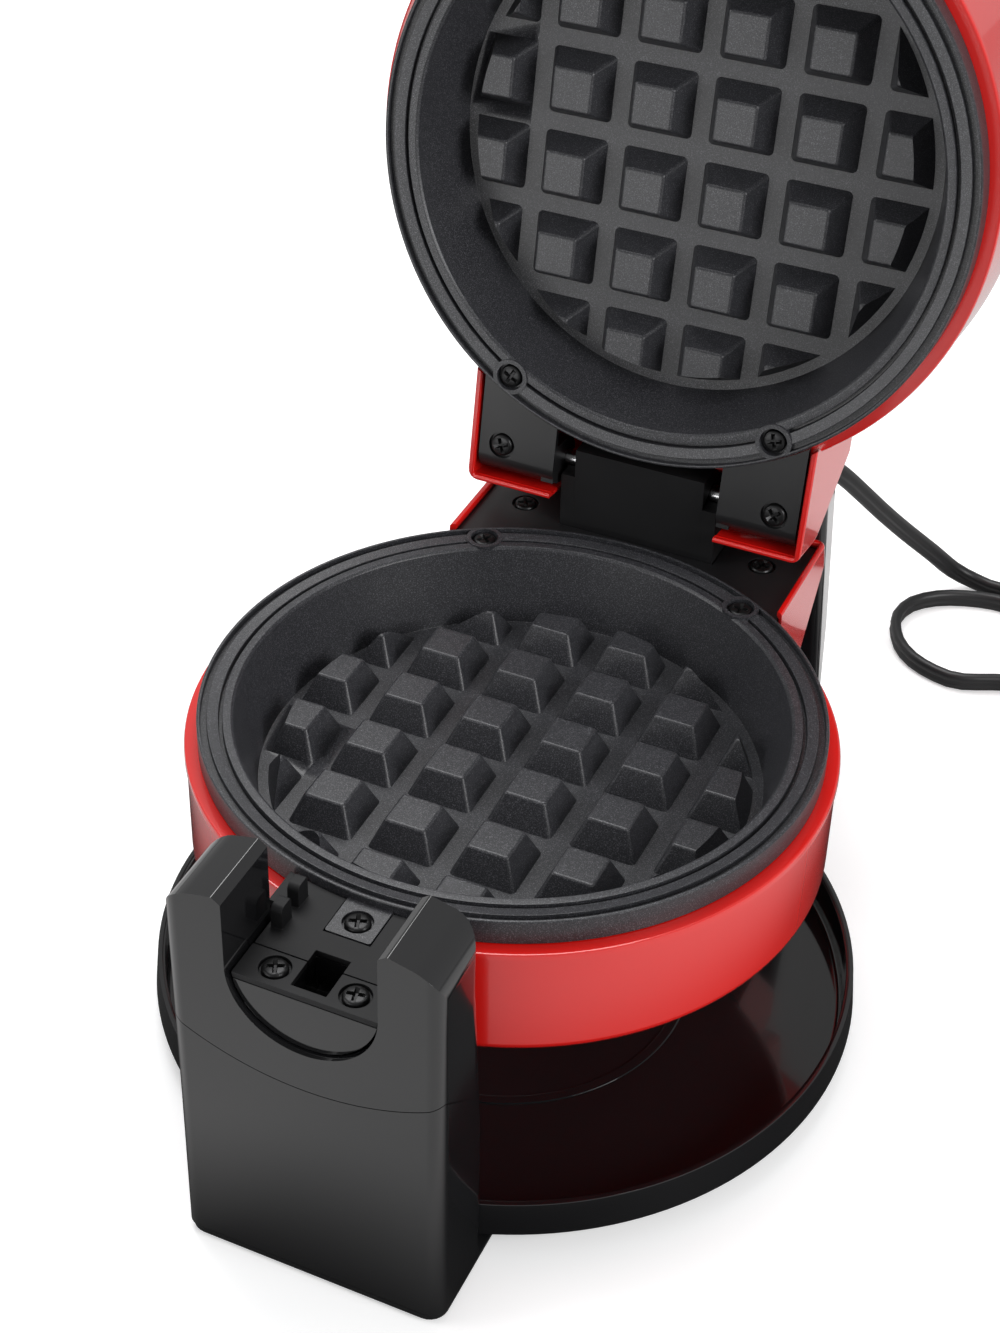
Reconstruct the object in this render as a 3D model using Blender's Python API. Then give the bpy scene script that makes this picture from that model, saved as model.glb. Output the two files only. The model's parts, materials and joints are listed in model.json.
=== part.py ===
"""Rotary waffle maker with a round grid, lid open: every sub-part as its own closed solid.

Metres, +Z up. The pieces are drawn about the middle of the parting plane, where the two grid plates
meet when the lid is shut: +Y runs to the hinge, -Y to the handle. The stand empty then lifts that point
to its height above the table, and the lid empty turns the lid's pieces about the hinge axis.
"""
import math

import bmesh
import bpy
import numpy as np
from mathutils import Vector

# Whole object; most places follow from the plate's radius and the hinge's place
PLATE_RADIUS = 0.100
RIM_HEIGHT = 0.122
LID_OPEN = math.radians(99.3)
HINGE_REACH = 0.0135
HINGE_Y = PLATE_RADIUS + HINGE_REACH
HINGE_Z = 0.0197
DISH_MARGIN = 0.0183
DISH_RIM_RADIUS = PLATE_RADIUS + DISH_MARGIN
PILLAR_REACH = 0.0267
PILLAR_FRONT = -DISH_RIM_RADIUS - PILLAR_REACH
CLOSED_GAP = 0.0004
GAP = 0.0003
OVERRUN = 0.004
MERGE_DISTANCE = 0.0000001
SHARP_ANGLE = math.radians(35)
ROUND_STEPS = 48
SCREW_STEPS = 8
HOLE_STEPS = 14
PIN_STEPS = 16
CORNER_STEPS = 3
SMOOTH_STEPS = 24

# Grid plates; depths run away from the parting plane
PLATE_SKIRT = 0.0085
PLATE_THICKNESS = 0.0025
RIM_THICKNESS = 0.0045
RIM_LIP = 0.0020
RIM_GROOVE_WIDTH = 0.0025
RIM_GROOVE_DEPTH = 0.0012
RIM_LAND_WIDTH = 0.0045
RIM_LAND_DEPTH = 0.0003
RIM_RIDGE_WIDTH = 0.0030
RIM_BEVEL = 0.0006
BASIN_INSET = 0.0141
BASIN_EDGE_RADIUS = PLATE_RADIUS - BASIN_INSET
GRID_INSET = 0.0183
GRID_RADIUS = PLATE_RADIUS - GRID_INSET
GRID_DEPTH = 0.0276
PEG_PITCH = 0.02813
PEG_BASE = 0.0222
PEG_TOP = 0.01385
PEG_HEIGHT = 0.0101
TAB_HALF_WIDTH = 0.00725
TAB_LENGTH = 0.0147
TAB_END = PLATE_RADIUS + TAB_LENGTH
TAB_DEPTH = 0.0026
TAB_THICKNESS = 0.0024

# Screws and the holes round them
SCREW_HEAD_RADIUS = 0.0040
SCREW_TOP_RADIUS = 0.0032
SCREW_HEAD_HEIGHT = 0.0018
SCREW_SHANK_RADIUS = 0.0019
SCREW_LENGTH = 0.0080
RECESS_RADIUS = 0.00475
RECESS_DEPTH = 0.0015
SHANK_HOLE_RADIUS = 0.0022
PLATE_SCREW_INSET = 0.0058
PLATE_SCREW_RADIUS = PLATE_RADIUS - PLATE_SCREW_INSET
PLATE_SCREW_ANGLE = math.radians(30)
TAB_SCREW_INSET = 0.0068
TAB_SCREW_Y = TAB_SCREW_INSET - TAB_END

# Red housings
DRUM_PROUD = 0.0038
DRUM_RADIUS = PLATE_RADIUS + DRUM_PROUD
BEAD_PROUD = 0.0006
BEAD_RADIUS = DRUM_RADIUS + BEAD_PROUD
BEAD_HEIGHT = 0.0030
DRUM_DEPTH = 0.0496
DRUM_CORNER = 0.0040
SHELL_WALL = 0.0012
FLANGE_WIDTH = 0.0070
BOX_HALF_WIDTH = 0.0612
BOX_OVERLAP = 0.0438
BOX_START = DRUM_RADIUS - BOX_OVERLAP
LOWER_BOX_REACH = 0.0175
LOWER_BOX_BACK = HINGE_Y + LOWER_BOX_REACH
LOWER_BOX_BULGE = 0.0030
LOWER_BOX_BULGE_DEPTH = 0.0110
LOWER_BOX_FOOT_REACH = 0.0112
LOWER_BOX_FOOT = DRUM_RADIUS + LOWER_BOX_FOOT_REACH
LOWER_BOX_FOOT_DEPTH = 0.0350
LID_BOX_REACH = 0.0110
LID_BOX_BACK = HINGE_Y + LID_BOX_REACH
LID_BOX_LIP = 0.0045
LID_BOX_BEND = 0.0240
LID_SLOT_HALF_WIDTH = 0.0302
LID_SLOT_TOP = 0.0375
LID_SLOT_CLEARANCE = 0.0042

# Hinge
BLOCK_HALF_WIDTH = 0.0235
BLOCK_SHOULDER_HALF_WIDTH = 0.0285
BLOCK_SHOULDER_TOP = 0.0180
BLOCK_CLEARANCE = 0.0046
BLOCK_FRONT = PLATE_RADIUS + BLOCK_CLEARANCE
BLOCK_LEAN = 0.0004
BLOCK_FRONT_TOP = BLOCK_FRONT - BLOCK_LEAN
BLOCK_TOP = 0.0290
BLOCK_TOP_REACH = 0.0025
BLOCK_TOP_BACK = HINGE_Y + BLOCK_TOP_REACH
BLOCK_REACH = 0.0150
BLOCK_BACK = HINGE_Y + BLOCK_REACH
BLOCK_BOTTOM = 0.0300
PIN_RADIUS = 0.0030
PIN_HALF_LENGTH = 0.0350
PIN_CLEARANCE = 0.0003
EAR_INNER = 0.0300
EAR_DEPTH = 0.0055
EAR_THICKNESS = 0.0030
EAR_CLEARANCE = 0.0015
EAR_FRONT_RADIUS = PLATE_RADIUS + EAR_CLEARANCE
PLATE_ARC_INSET = 0.0250
PLATE_ARC_START = PLATE_RADIUS - PLATE_ARC_INSET
CHEEK_THICKNESS = 0.0045
CHEEK_TOP = 0.0252
CHEEK_REACH = 0.0075
EAR_SCREW_INSET = 0.0114
EAR_SCREW_X = BOX_HALF_WIDTH - EAR_SCREW_INSET
EAR_SCREW_SETBACK = 0.0040
EAR_SCREW_Y = HINGE_Y - EAR_SCREW_SETBACK
REAR_COVER_DEPTH = 0.0028
REAR_COVER_THICKNESS = 0.0030
REAR_COVER_CLEARANCE = 0.0015
REAR_COVER_BACK = LOWER_BOX_BACK - REAR_COVER_CLEARANCE
REAR_COVER_SCREW_INSET = 0.0168
REAR_COVER_SCREW_X = BOX_HALF_WIDTH - REAR_COVER_SCREW_INSET
REAR_COVER_SCREW_SETBACK = 0.0025
REAR_COVER_SCREW_Y = HINGE_Y - REAR_COVER_SCREW_SETBACK

# Front hub, neck and latch
HUB_RADIUS = 0.0233
HUB_SETBACK = 0.0040
HUB_FRONT = PILLAR_FRONT + HUB_SETBACK
HUB_COVER_DEPTH = 0.0028
HUB_COVER_THICKNESS = 0.0022
HUB_CAP_LENGTH = 0.0129
HUB_SEAM_Y = HUB_FRONT + HUB_CAP_LENGTH
NECK_HALF_WIDTH = 0.0277
NECK_FLARE_LENGTH = 0.0067
NECK_FLARE_START = -DRUM_RADIUS - NECK_FLARE_LENGTH
NECK_ARC_INSET = 0.0100
NECK_ARC_START = NECK_ARC_INSET - PLATE_RADIUS
NECK_FLARE_DEPTH = 0.0270
HUB_SCREW_X = 0.0127
HUB_SCREW_INSET = 0.0069
HUB_SCREW_Y = HUB_FRONT + HUB_SCREW_INSET
SLOT_HALF_WIDTH = 0.0055
SLOT_INSET = 0.0029
SLOT_FRONT = HUB_FRONT + SLOT_INSET
SLOT_LENGTH = 0.0151
SLOT_BACK = SLOT_FRONT + SLOT_LENGTH
SLOT_DEPTH = 0.0130
SLOT_UNDERCUT = 0.0016
RIB_INNER = 0.0180
RIB_WIDTH = 0.0038
RIB_TOP = 0.0050
RIB_INSET = 0.0210
RIB_FRONT = HUB_FRONT + RIB_INSET
RIB_PITCH = 0.0100
RIB_LENGTH = 0.0060
LATCH_HALF_WIDTH = 0.0042
LATCH_INSET = 0.0019
LATCH_STEM_FRONT = SLOT_FRONT + LATCH_INSET
LATCH_STEM_LENGTH = 0.0050
LATCH_STEM_BACK = LATCH_STEM_FRONT + LATCH_STEM_LENGTH
LATCH_TRAVEL = 0.0050
LATCH_HOOK = 0.0032
LATCH_TIP = 0.0085
LATCH_PAD_HALF_WIDTH = 0.0080
LATCH_PAD_LENGTH = 0.0120
LATCH_PAD_THICKNESS = 0.0032

# Handle
HANDLE_LENGTH = 0.0950
HANDLE_STRAIGHT_SHARE = 0.5
HANDLE_SWELL_SHARE = 0.9
HANDLE_HALF_WIDTH = 0.0170
HANDLE_END_HALF_WIDTH = 0.0210
HANDLE_BOTTOM = 0.0025
HANDLE_TOP = 0.0245
HANDLE_CORNER = 0.0070
HANDLE_SCREW_INSET = 0.0290
HANDLE_SCREW_Y = HUB_FRONT - HANDLE_SCREW_INSET

# Heating and control parts
ELEMENT_INSET = 0.0217
ELEMENT_RADIUS = GRID_RADIUS - ELEMENT_INSET
ELEMENT_TUBE_RADIUS = 0.0032
ELEMENT_OPENING = math.radians(36)
ELEMENT_STEPS = 30
ELEMENT_TAIL = 0.0090
REFLECTOR_INSET = 0.0080
REFLECTOR_RADIUS = PLATE_RADIUS - REFLECTOR_INSET
REFLECTOR_HOLE = 0.0105
REFLECTOR_THICKNESS = 0.0008
REFLECTOR_EDGE = 0.0050
THERMOSTAT_RADIUS = 0.0085
THERMOSTAT_HEIGHT = 0.0080
FUSE_RADIUS = 0.0022
FUSE_HALF_LENGTH = 0.0120
FUSE_Y = 0.0260

# Base dish and bottom plate
DISH_FLARE = 0.0012
DISH_EDGE_RADIUS = DISH_RIM_RADIUS + DISH_FLARE
DISH_FOOT_INSET = 0.0083
DISH_FOOT_RADIUS = DISH_RIM_RADIUS - DISH_FOOT_INSET
DISH_WALL = 0.0024
FOOT_HEIGHT = 0.0016
BOTTOM_THICKNESS = 0.0018
DISH_BOTTOM_DEPTH = RIM_HEIGHT - FOOT_HEIGHT - BOTTOM_THICKNESS - 2 * GAP
DISH_FLOOR_THICKNESS = 0.0025
DISH_FLOOR_DEPTH = DISH_BOTTOM_DEPTH - DISH_FLOOR_THICKNESS
DISH_EDGE_RISE = 0.0025
DISH_EDGE_DEPTH = DISH_FLOOR_DEPTH - DISH_EDGE_RISE
DISH_RIM_RISE = 0.0149
DISH_RIM_DEPTH = DISH_FLOOR_DEPTH - DISH_RIM_RISE
DISH_FLOOR_ROUND = 0.0022
DISH_RING_RADIUS = 0.0622
DISH_RING_WIDTH = 0.0032
DISH_RING_HEIGHT = 0.0007
LUG_INSET = 0.0200
LUG_REACH = DISH_FOOT_RADIUS - LUG_INSET
LUG_CORNER = 0.0060
FOOT_RADIUS = 0.0090
FOOT_INSET = 0.0400
FOOT_X = DISH_FOOT_RADIUS - FOOT_INSET
FOOT_Y = FOOT_X
BASE_SCREW_HEAD = 0.0010
BASE_SCREW_INSET = 0.0200
REAR_SCREW_INSET = 0.0400

# Front pillar and cradle
PILLAR_TOP_HALF_WIDTH = 0.0413
PILLAR_FOOT_HALF_WIDTH = 0.0435
PILLAR_ARM_LENGTH = 0.0245
PILLAR_ARM_BACK = PILLAR_FRONT + PILLAR_ARM_LENGTH
PILLAR_LENGTH = 0.0330
PILLAR_BACK = PILLAR_FRONT + PILLAR_LENGTH
PILLAR_BACK_DEPTH = 0.0600
PILLAR_CORNER = 0.0055
PILLAR_WALL = 0.0030
ARM_TOP = 0.0262
ARM_SHOULDER = 0.0215
ARM_INNER_ROUND = 0.0035
ARM_OUTER_ROUND = 0.0120
CRADLE_CLEARANCE = 0.0007
CRADLE_RADIUS = HUB_RADIUS + CRADLE_CLEARANCE
SEAM_DEPTH = 0.0385
SEAM_RADIUS = 0.0843
SEAM_FALL_SHARE = 0.85
SEAM_LEVEL_LENGTH = 0.0050
SEAM_LEVEL_Y = PILLAR_FRONT + SEAM_LEVEL_LENGTH
SEAM_STEPS = 10

# Rear column and hub
COLUMN_CLEARANCE = 0.0030
COLUMN_FRONT = LOWER_BOX_BACK + LOWER_BOX_BULGE + COLUMN_CLEARANCE
COLUMN_FOOT_OVERLAP = 0.0063
COLUMN_FOOT_FRONT = DISH_RIM_RADIUS - COLUMN_FOOT_OVERLAP
COLUMN_LENGTH = 0.0440
COLUMN_BACK = COLUMN_FRONT + COLUMN_LENGTH
COLUMN_TOP = 0.0188
COLUMN_TOP_HALF_WIDTH = 0.0577
COLUMN_FOOT_HALF_WIDTH = 0.0660
COLUMN_TAPER = 0.0115
COLUMN_FRONT_CORNER = 0.0040
COLUMN_BACK_CORNER = 0.0100
COLUMN_SHOULDER = 0.0180
COLUMN_WALL = 0.0030
COLUMN_FOOT_RISE = 0.0220
COLUMN_FOOT_DEPTH = DISH_BOTTOM_DEPTH - COLUMN_FOOT_RISE
COLUMN_KNEE_RISE = 0.0500
COLUMN_KNEE_DEPTH = DISH_BOTTOM_DEPTH - COLUMN_KNEE_RISE
BOSS_WEB_HALF_WIDTH = 0.0012
REAR_HUB_RADIUS = 0.0115
REAR_HUB_BORE = 0.0080
REAR_HUB_REACH = 0.0110
REAR_HUB_END = COLUMN_FRONT + REAR_HUB_REACH
BUSH_WALL = 0.0025
BUSH_FLANGE = 0.0010
BUSH_LENGTH = 0.0042
RETAINER_WIDTH = 0.0033
RETAINER_THICKNESS = 0.0015

# Cord; its route is X, distance behind the column and height above the table
CORD_DIAMETER = 0.0075
CORD_SPACING = 0.0180
RELIEF_X = 0.0280
RELIEF_Z = -0.0200
RELIEF_RADIUS = 0.0062
RELIEF_TIP_RADIUS = 0.0048
RELIEF_LENGTH = 0.0180
RELIEF_COLLAR = 0.0022
CORD_REST = CORD_DIAMETER / 2
CORD_ROUTE = (
    (0.0330, 0.0355, 0.0972),
    (0.0388, 0.0470, 0.0865),
    (0.0444, 0.0600, 0.0722),
    (0.0505, 0.0740, 0.0563),
    (0.0572, 0.0890, 0.0399),
    (0.0667, 0.1050, 0.0218),
    (0.0739, 0.1150, 0.0095),
    (0.0837, 0.1180, 0.0043),
    (0.0949, 0.1168, CORD_REST),
    (0.1180, 0.1200, CORD_REST),
    (0.1450, 0.1250, CORD_REST),
    (0.1660, 0.1200, CORD_REST),
    (0.1740, 0.1050, CORD_REST),
    (0.1630, 0.0920, CORD_REST),
    (0.1400, 0.0930, CORD_REST),
    (0.1170, 0.1035, CORD_REST),
    (0.0970, 0.1080, CORD_REST),
    (0.0767, 0.1025, CORD_REST),
    (0.0645, 0.0920, CORD_REST),
    (0.0612, 0.0796, CORD_REST),
    (0.0636, 0.0699, CORD_REST),
    (0.0680, 0.0615, CORD_REST),
    (0.0752, 0.0545, CORD_REST),
    (0.0853, 0.0498, CORD_REST),
    (0.0964, 0.0487, CORD_REST),
    (0.1113, 0.0552, CORD_REST),
    (0.1270, 0.0610, CORD_REST),
    (0.1440, 0.0638, CORD_REST),
)
COIL_X = 0.1760
COIL_REACH = 0.0200
COIL_Y = COLUMN_BACK + COIL_REACH
COIL_RADIUS = 0.0440
COIL_PITCH = 0.0082
COIL_LAYER_TURNS = 1.0
COIL_CLIMB_TURNS = 0.5
COIL_TOP_TURNS = 0.75
COIL_TURN_POINTS = 24
TAIL_ROUTE = (
    (0.0424, -0.0230, 0.0095),
    (0.0430, -0.0410, 0.0050),
)
TAIL_LENGTH = 0.0610
TAIL_END_Y = COIL_Y - TAIL_LENGTH
TAIL_REACH = 0.0430
TAIL_END_X = COIL_X + TAIL_REACH
PLUG_LENGTH = 0.0340
PLUG_HALF_WIDTH = 0.0125
PLUG_NOSE_HALF_WIDTH = 0.0085
PLUG_NECK_HALF_WIDTH = 0.0100
PLUG_NECK_SHARE = 0.25
PLUG_BODY_SHARE = 0.6
PLUG_HALF_HEIGHT = 0.0036
BLADE_LENGTH = 0.0175
BLADE_HALF_HEIGHT = 0.0031
BLADE_THICKNESS = 0.0015
BLADE_SPACING = 0.0127

CENTRE_Y = (PILLAR_FRONT + COLUMN_BACK) / 2
TABLE = -RIM_HEIGHT

for old in list(bpy.data.objects):
    bpy.data.objects.remove(old, do_unlink=True)


def empty(name, place, parent=None):
    """An empty that carries pieces and is no piece itself."""
    frame = bpy.data.objects.new(name, None)
    frame.location = place
    frame.parent = parent
    bpy.context.collection.objects.link(frame)
    return frame


STAND = empty("stand", (0, -CENTRE_Y, RIM_HEIGHT))
LID = empty("lid_axis", (0, HINGE_Y, HINGE_Z), STAND)
LID.rotation_euler.x = -LID_OPEN


def finish(name, colour, roughness, metallic=0.0):
    """A plain Principled material."""
    made = bpy.data.materials.new(name)
    made.use_nodes = True
    shader = made.node_tree.nodes["Principled BSDF"]
    shader.inputs["Base Color"].default_value = (*colour, 1)
    shader.inputs["Roughness"].default_value = roughness
    shader.inputs["Metallic"].default_value = metallic
    return made


RED = finish("red_paint", (0.62, 0.01, 0.01), 0.15)
GLOSS = finish("gloss_black", (0.012, 0.012, 0.012), 0.18)
SATIN = finish("satin_black", (0.02, 0.02, 0.02), 0.45)
NONSTICK = finish("nonstick", (0.045, 0.047, 0.05), 0.5, 0.3)
RUBBER = finish("rubber", (0.015, 0.015, 0.015), 0.7)
STEEL = finish("steel", (0.6, 0.6, 0.6), 0.3, 1.0)
BLACK_STEEL = finish("black_steel", (0.02, 0.02, 0.02), 0.35, 0.6)


def place(name, mesh, paint, frame=STAND):
    """Link a mesh drawn about the parting plane's middle, carried by the stand or by the lid."""
    piece = bpy.data.objects.new(name, mesh)
    bpy.context.collection.objects.link(piece)
    piece.parent = frame
    if frame is LID:
        piece.location = (0, -HINGE_Y, -HINGE_Z)
    if paint:
        mesh.materials.append(paint)
    return piece


def mesh_of(name, points, faces):
    """A mesh with its faces turned outwards and its round stretches shaded smooth."""
    mesh = bpy.data.meshes.new(name)
    mesh.from_pydata([tuple(point) for point in points], [], faces)
    work = bmesh.new()
    work.from_mesh(mesh)
    bmesh.ops.remove_doubles(work, verts=work.verts, dist=MERGE_DISTANCE)
    bmesh.ops.recalc_face_normals(work, faces=work.faces)
    work.to_mesh(mesh)
    work.free()
    mesh.shade_smooth()
    mesh.set_sharp_from_angle(angle=SHARP_ANGLE)
    return mesh


def turned(name, profile, paint, frame=STAND, steps=ROUND_STEPS, centre=(0, 0)):
    """Turn a profile of radius and height about a vertical axis; it is closed unless it meets the axis."""
    points = []
    rings = []
    for radius, height in profile:
        count = steps if radius > 0 else 1
        rings.append([len(points) + i for i in range(count)])
        for i in range(count):
            turn = math.tau * i / steps
            points.append((centre[0] + radius * math.cos(turn), centre[1] + radius * math.sin(turn), height))
    faces = []
    for ring, following in zip(rings, rings[1:] + rings[:1]):
        for i in range(steps):
            corners = [ring[i % len(ring)], ring[(i + 1) % len(ring)]]
            corners += [following[(i + 1) % len(following)], following[i % len(following)]]
            face = list(dict.fromkeys(corners))
            if len(face) > 2:
                faces.append(face)
    return place(name, mesh_of(name, points, faces), paint, frame)


def layered(name, loops, paint, frame=STAND):
    """Skin a stack of outlines that have the same number of points, and close both ends."""
    count = len(loops[0])
    points = [point for loop in loops for point in loop]
    faces = [list(range(count)), list(range(len(points) - count, len(points)))]
    for level in range(len(loops) - 1):
        for i in range(count):
            here = level * count + i
            beside = level * count + (i + 1) % count
            faces.append([here, beside, beside + count, here + count])
    return place(name, mesh_of(name, points, faces), paint, frame)


def along(axis, u, v, height):
    """A point from two outline coordinates and a height along X, Y or Z."""
    return {"X": (height, u, v), "Y": (u, height, v), "Z": (u, v, height)}[axis]


def prism(name, outline, low, high, axis, paint=None, frame=STAND):
    """Extrude an outline from low to high along X, Y or Z."""
    loops = [[along(axis, u, v, height) for u, v in outline] for height in (low, high)]
    return layered(name, loops, paint, frame)


def box(name, xs, ys, zs, paint=None, frame=STAND):
    """A block between pairs of X, Y and Z."""
    outline = [(xs[0], ys[0]), (xs[1], ys[0]), (xs[1], ys[1]), (xs[0], ys[1])]
    return prism(name, outline, zs[0], zs[1], "Z", paint, frame)


def circle(radius, centre=(0, 0), steps=ROUND_STEPS):
    """A round outline."""
    turns = [math.tau * i / steps for i in range(steps)]
    return [(centre[0] + radius * math.cos(turn), centre[1] + radius * math.sin(turn)) for turn in turns]


def rounded(corners, steps=CORNER_STEPS):
    """An outline with an arc of its own radius at each corner; every corner gives the same count."""
    outline = []
    count = len(corners)
    for i, (x, y, radius) in enumerate(corners):
        here = Vector((x, y))
        before = (Vector(corners[i - 1][:2]) - here).normalized()
        after = (Vector(corners[(i + 1) % count][:2]) - here).normalized()
        half = math.acos(max(-1.0, min(1.0, before.dot(after)))) / 2
        middle = here + (before + after).normalized() * radius / math.sin(half)
        start = here + before * radius / math.tan(half) - middle
        sweep = math.pi - 2 * half
        if before.cross(after) > 0:
            sweep = -sweep
        for step in range(steps + 1):
            turn = sweep * step / steps
            arm = Vector((start.x * math.cos(turn) - start.y * math.sin(turn),
                          start.x * math.sin(turn) + start.y * math.cos(turn)))
            outline.append(tuple(middle + arm))
    return outline


def inset(outline, distance):
    """Move the edges of a convex outline inwards by a wall."""
    area = sum(a[0] * b[1] - b[0] * a[1] for a, b in zip(outline, outline[1:] + outline[:1]))
    side = 1 if area > 0 else -1
    lines = []
    for a, b in zip(outline, outline[1:] + outline[:1]):
        run = (Vector(b) - Vector(a)).normalized()
        normal = Vector((-run.y, run.x)) * side
        lines.append((Vector(a) + normal * distance, run))
    moved = []
    for (start, run), (other, cross) in zip(lines[-1:] + lines[:-1], lines):
        share = (other - start).cross(cross) / run.cross(cross)
        moved.append(tuple(start + run * share))
    return moved


def combine(piece, tool, operation="DIFFERENCE"):
    """Cut, join or intersect a piece with a guide solid that is no piece itself."""
    tool.hide_render = True
    tool.display_type = "WIRE"
    step = piece.modifiers.new(tool.name, "BOOLEAN")
    step.object = tool
    step.operation = operation
    step.solver = "EXACT"
    return piece


def screw(name, x, y, head_under, sign, paint, frame=STAND, head=SCREW_HEAD_HEIGHT, length=SCREW_LENGTH):
    """A pan-head screw: its head sits on head_under and its shank runs on in the direction of sign."""
    profile = [(0, head_under - sign * head)]
    profile += [(SCREW_TOP_RADIUS, head_under - sign * head)]
    profile += [(SCREW_HEAD_RADIUS, head_under - sign * head / 2), (SCREW_HEAD_RADIUS, head_under)]
    profile += [(SCREW_SHANK_RADIUS, head_under), (SCREW_SHANK_RADIUS, head_under + sign * length)]
    profile += [(0, head_under + sign * length)]
    return turned(name, profile, paint, frame, SCREW_STEPS, (x, y))


def screw_hole(piece, name, x, y, face, sign, recess=RECESS_DEPTH, depth=SCREW_LENGTH + OVERRUN):
    """Cut a recess for a head and a hole for its shank, from a face in the direction of sign."""
    profile = [(0, face - sign * OVERRUN), (RECESS_RADIUS, face - sign * OVERRUN)]
    profile += [(RECESS_RADIUS, face + sign * recess), (SHANK_HOLE_RADIUS, face + sign * recess)]
    profile += [(SHANK_HOLE_RADIUS, face + sign * depth), (0, face + sign * depth)]
    tool = turned(name, profile, None, piece.parent, HOLE_STEPS, (x, y))
    return combine(piece, tool)


def tube(name, points, radius, paint, frame=STAND, resolution=2):
    """A round tube along given points, with filled ends."""
    curve = bpy.data.curves.new(name, "CURVE")
    curve.dimensions = "3D"
    curve.bevel_depth = radius
    curve.bevel_resolution = resolution
    curve.use_fill_caps = True
    line = curve.splines.new("POLY")
    line.points.add(len(points) - 1)
    for knot, point in zip(line.points, points):
        knot.co = (*point, 1)
    return place(name, curve, paint, frame)


LOWER = {"name": "lower", "sign": -1, "datum": 0.0, "frame": STAND}
UPPER = {"name": "upper", "sign": 1, "datum": CLOSED_GAP, "frame": LID}


def level(half, depth):
    """The height of a depth behind the parting plane, on the lower or the upper half."""
    return half["datum"] + half["sign"] * depth


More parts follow.
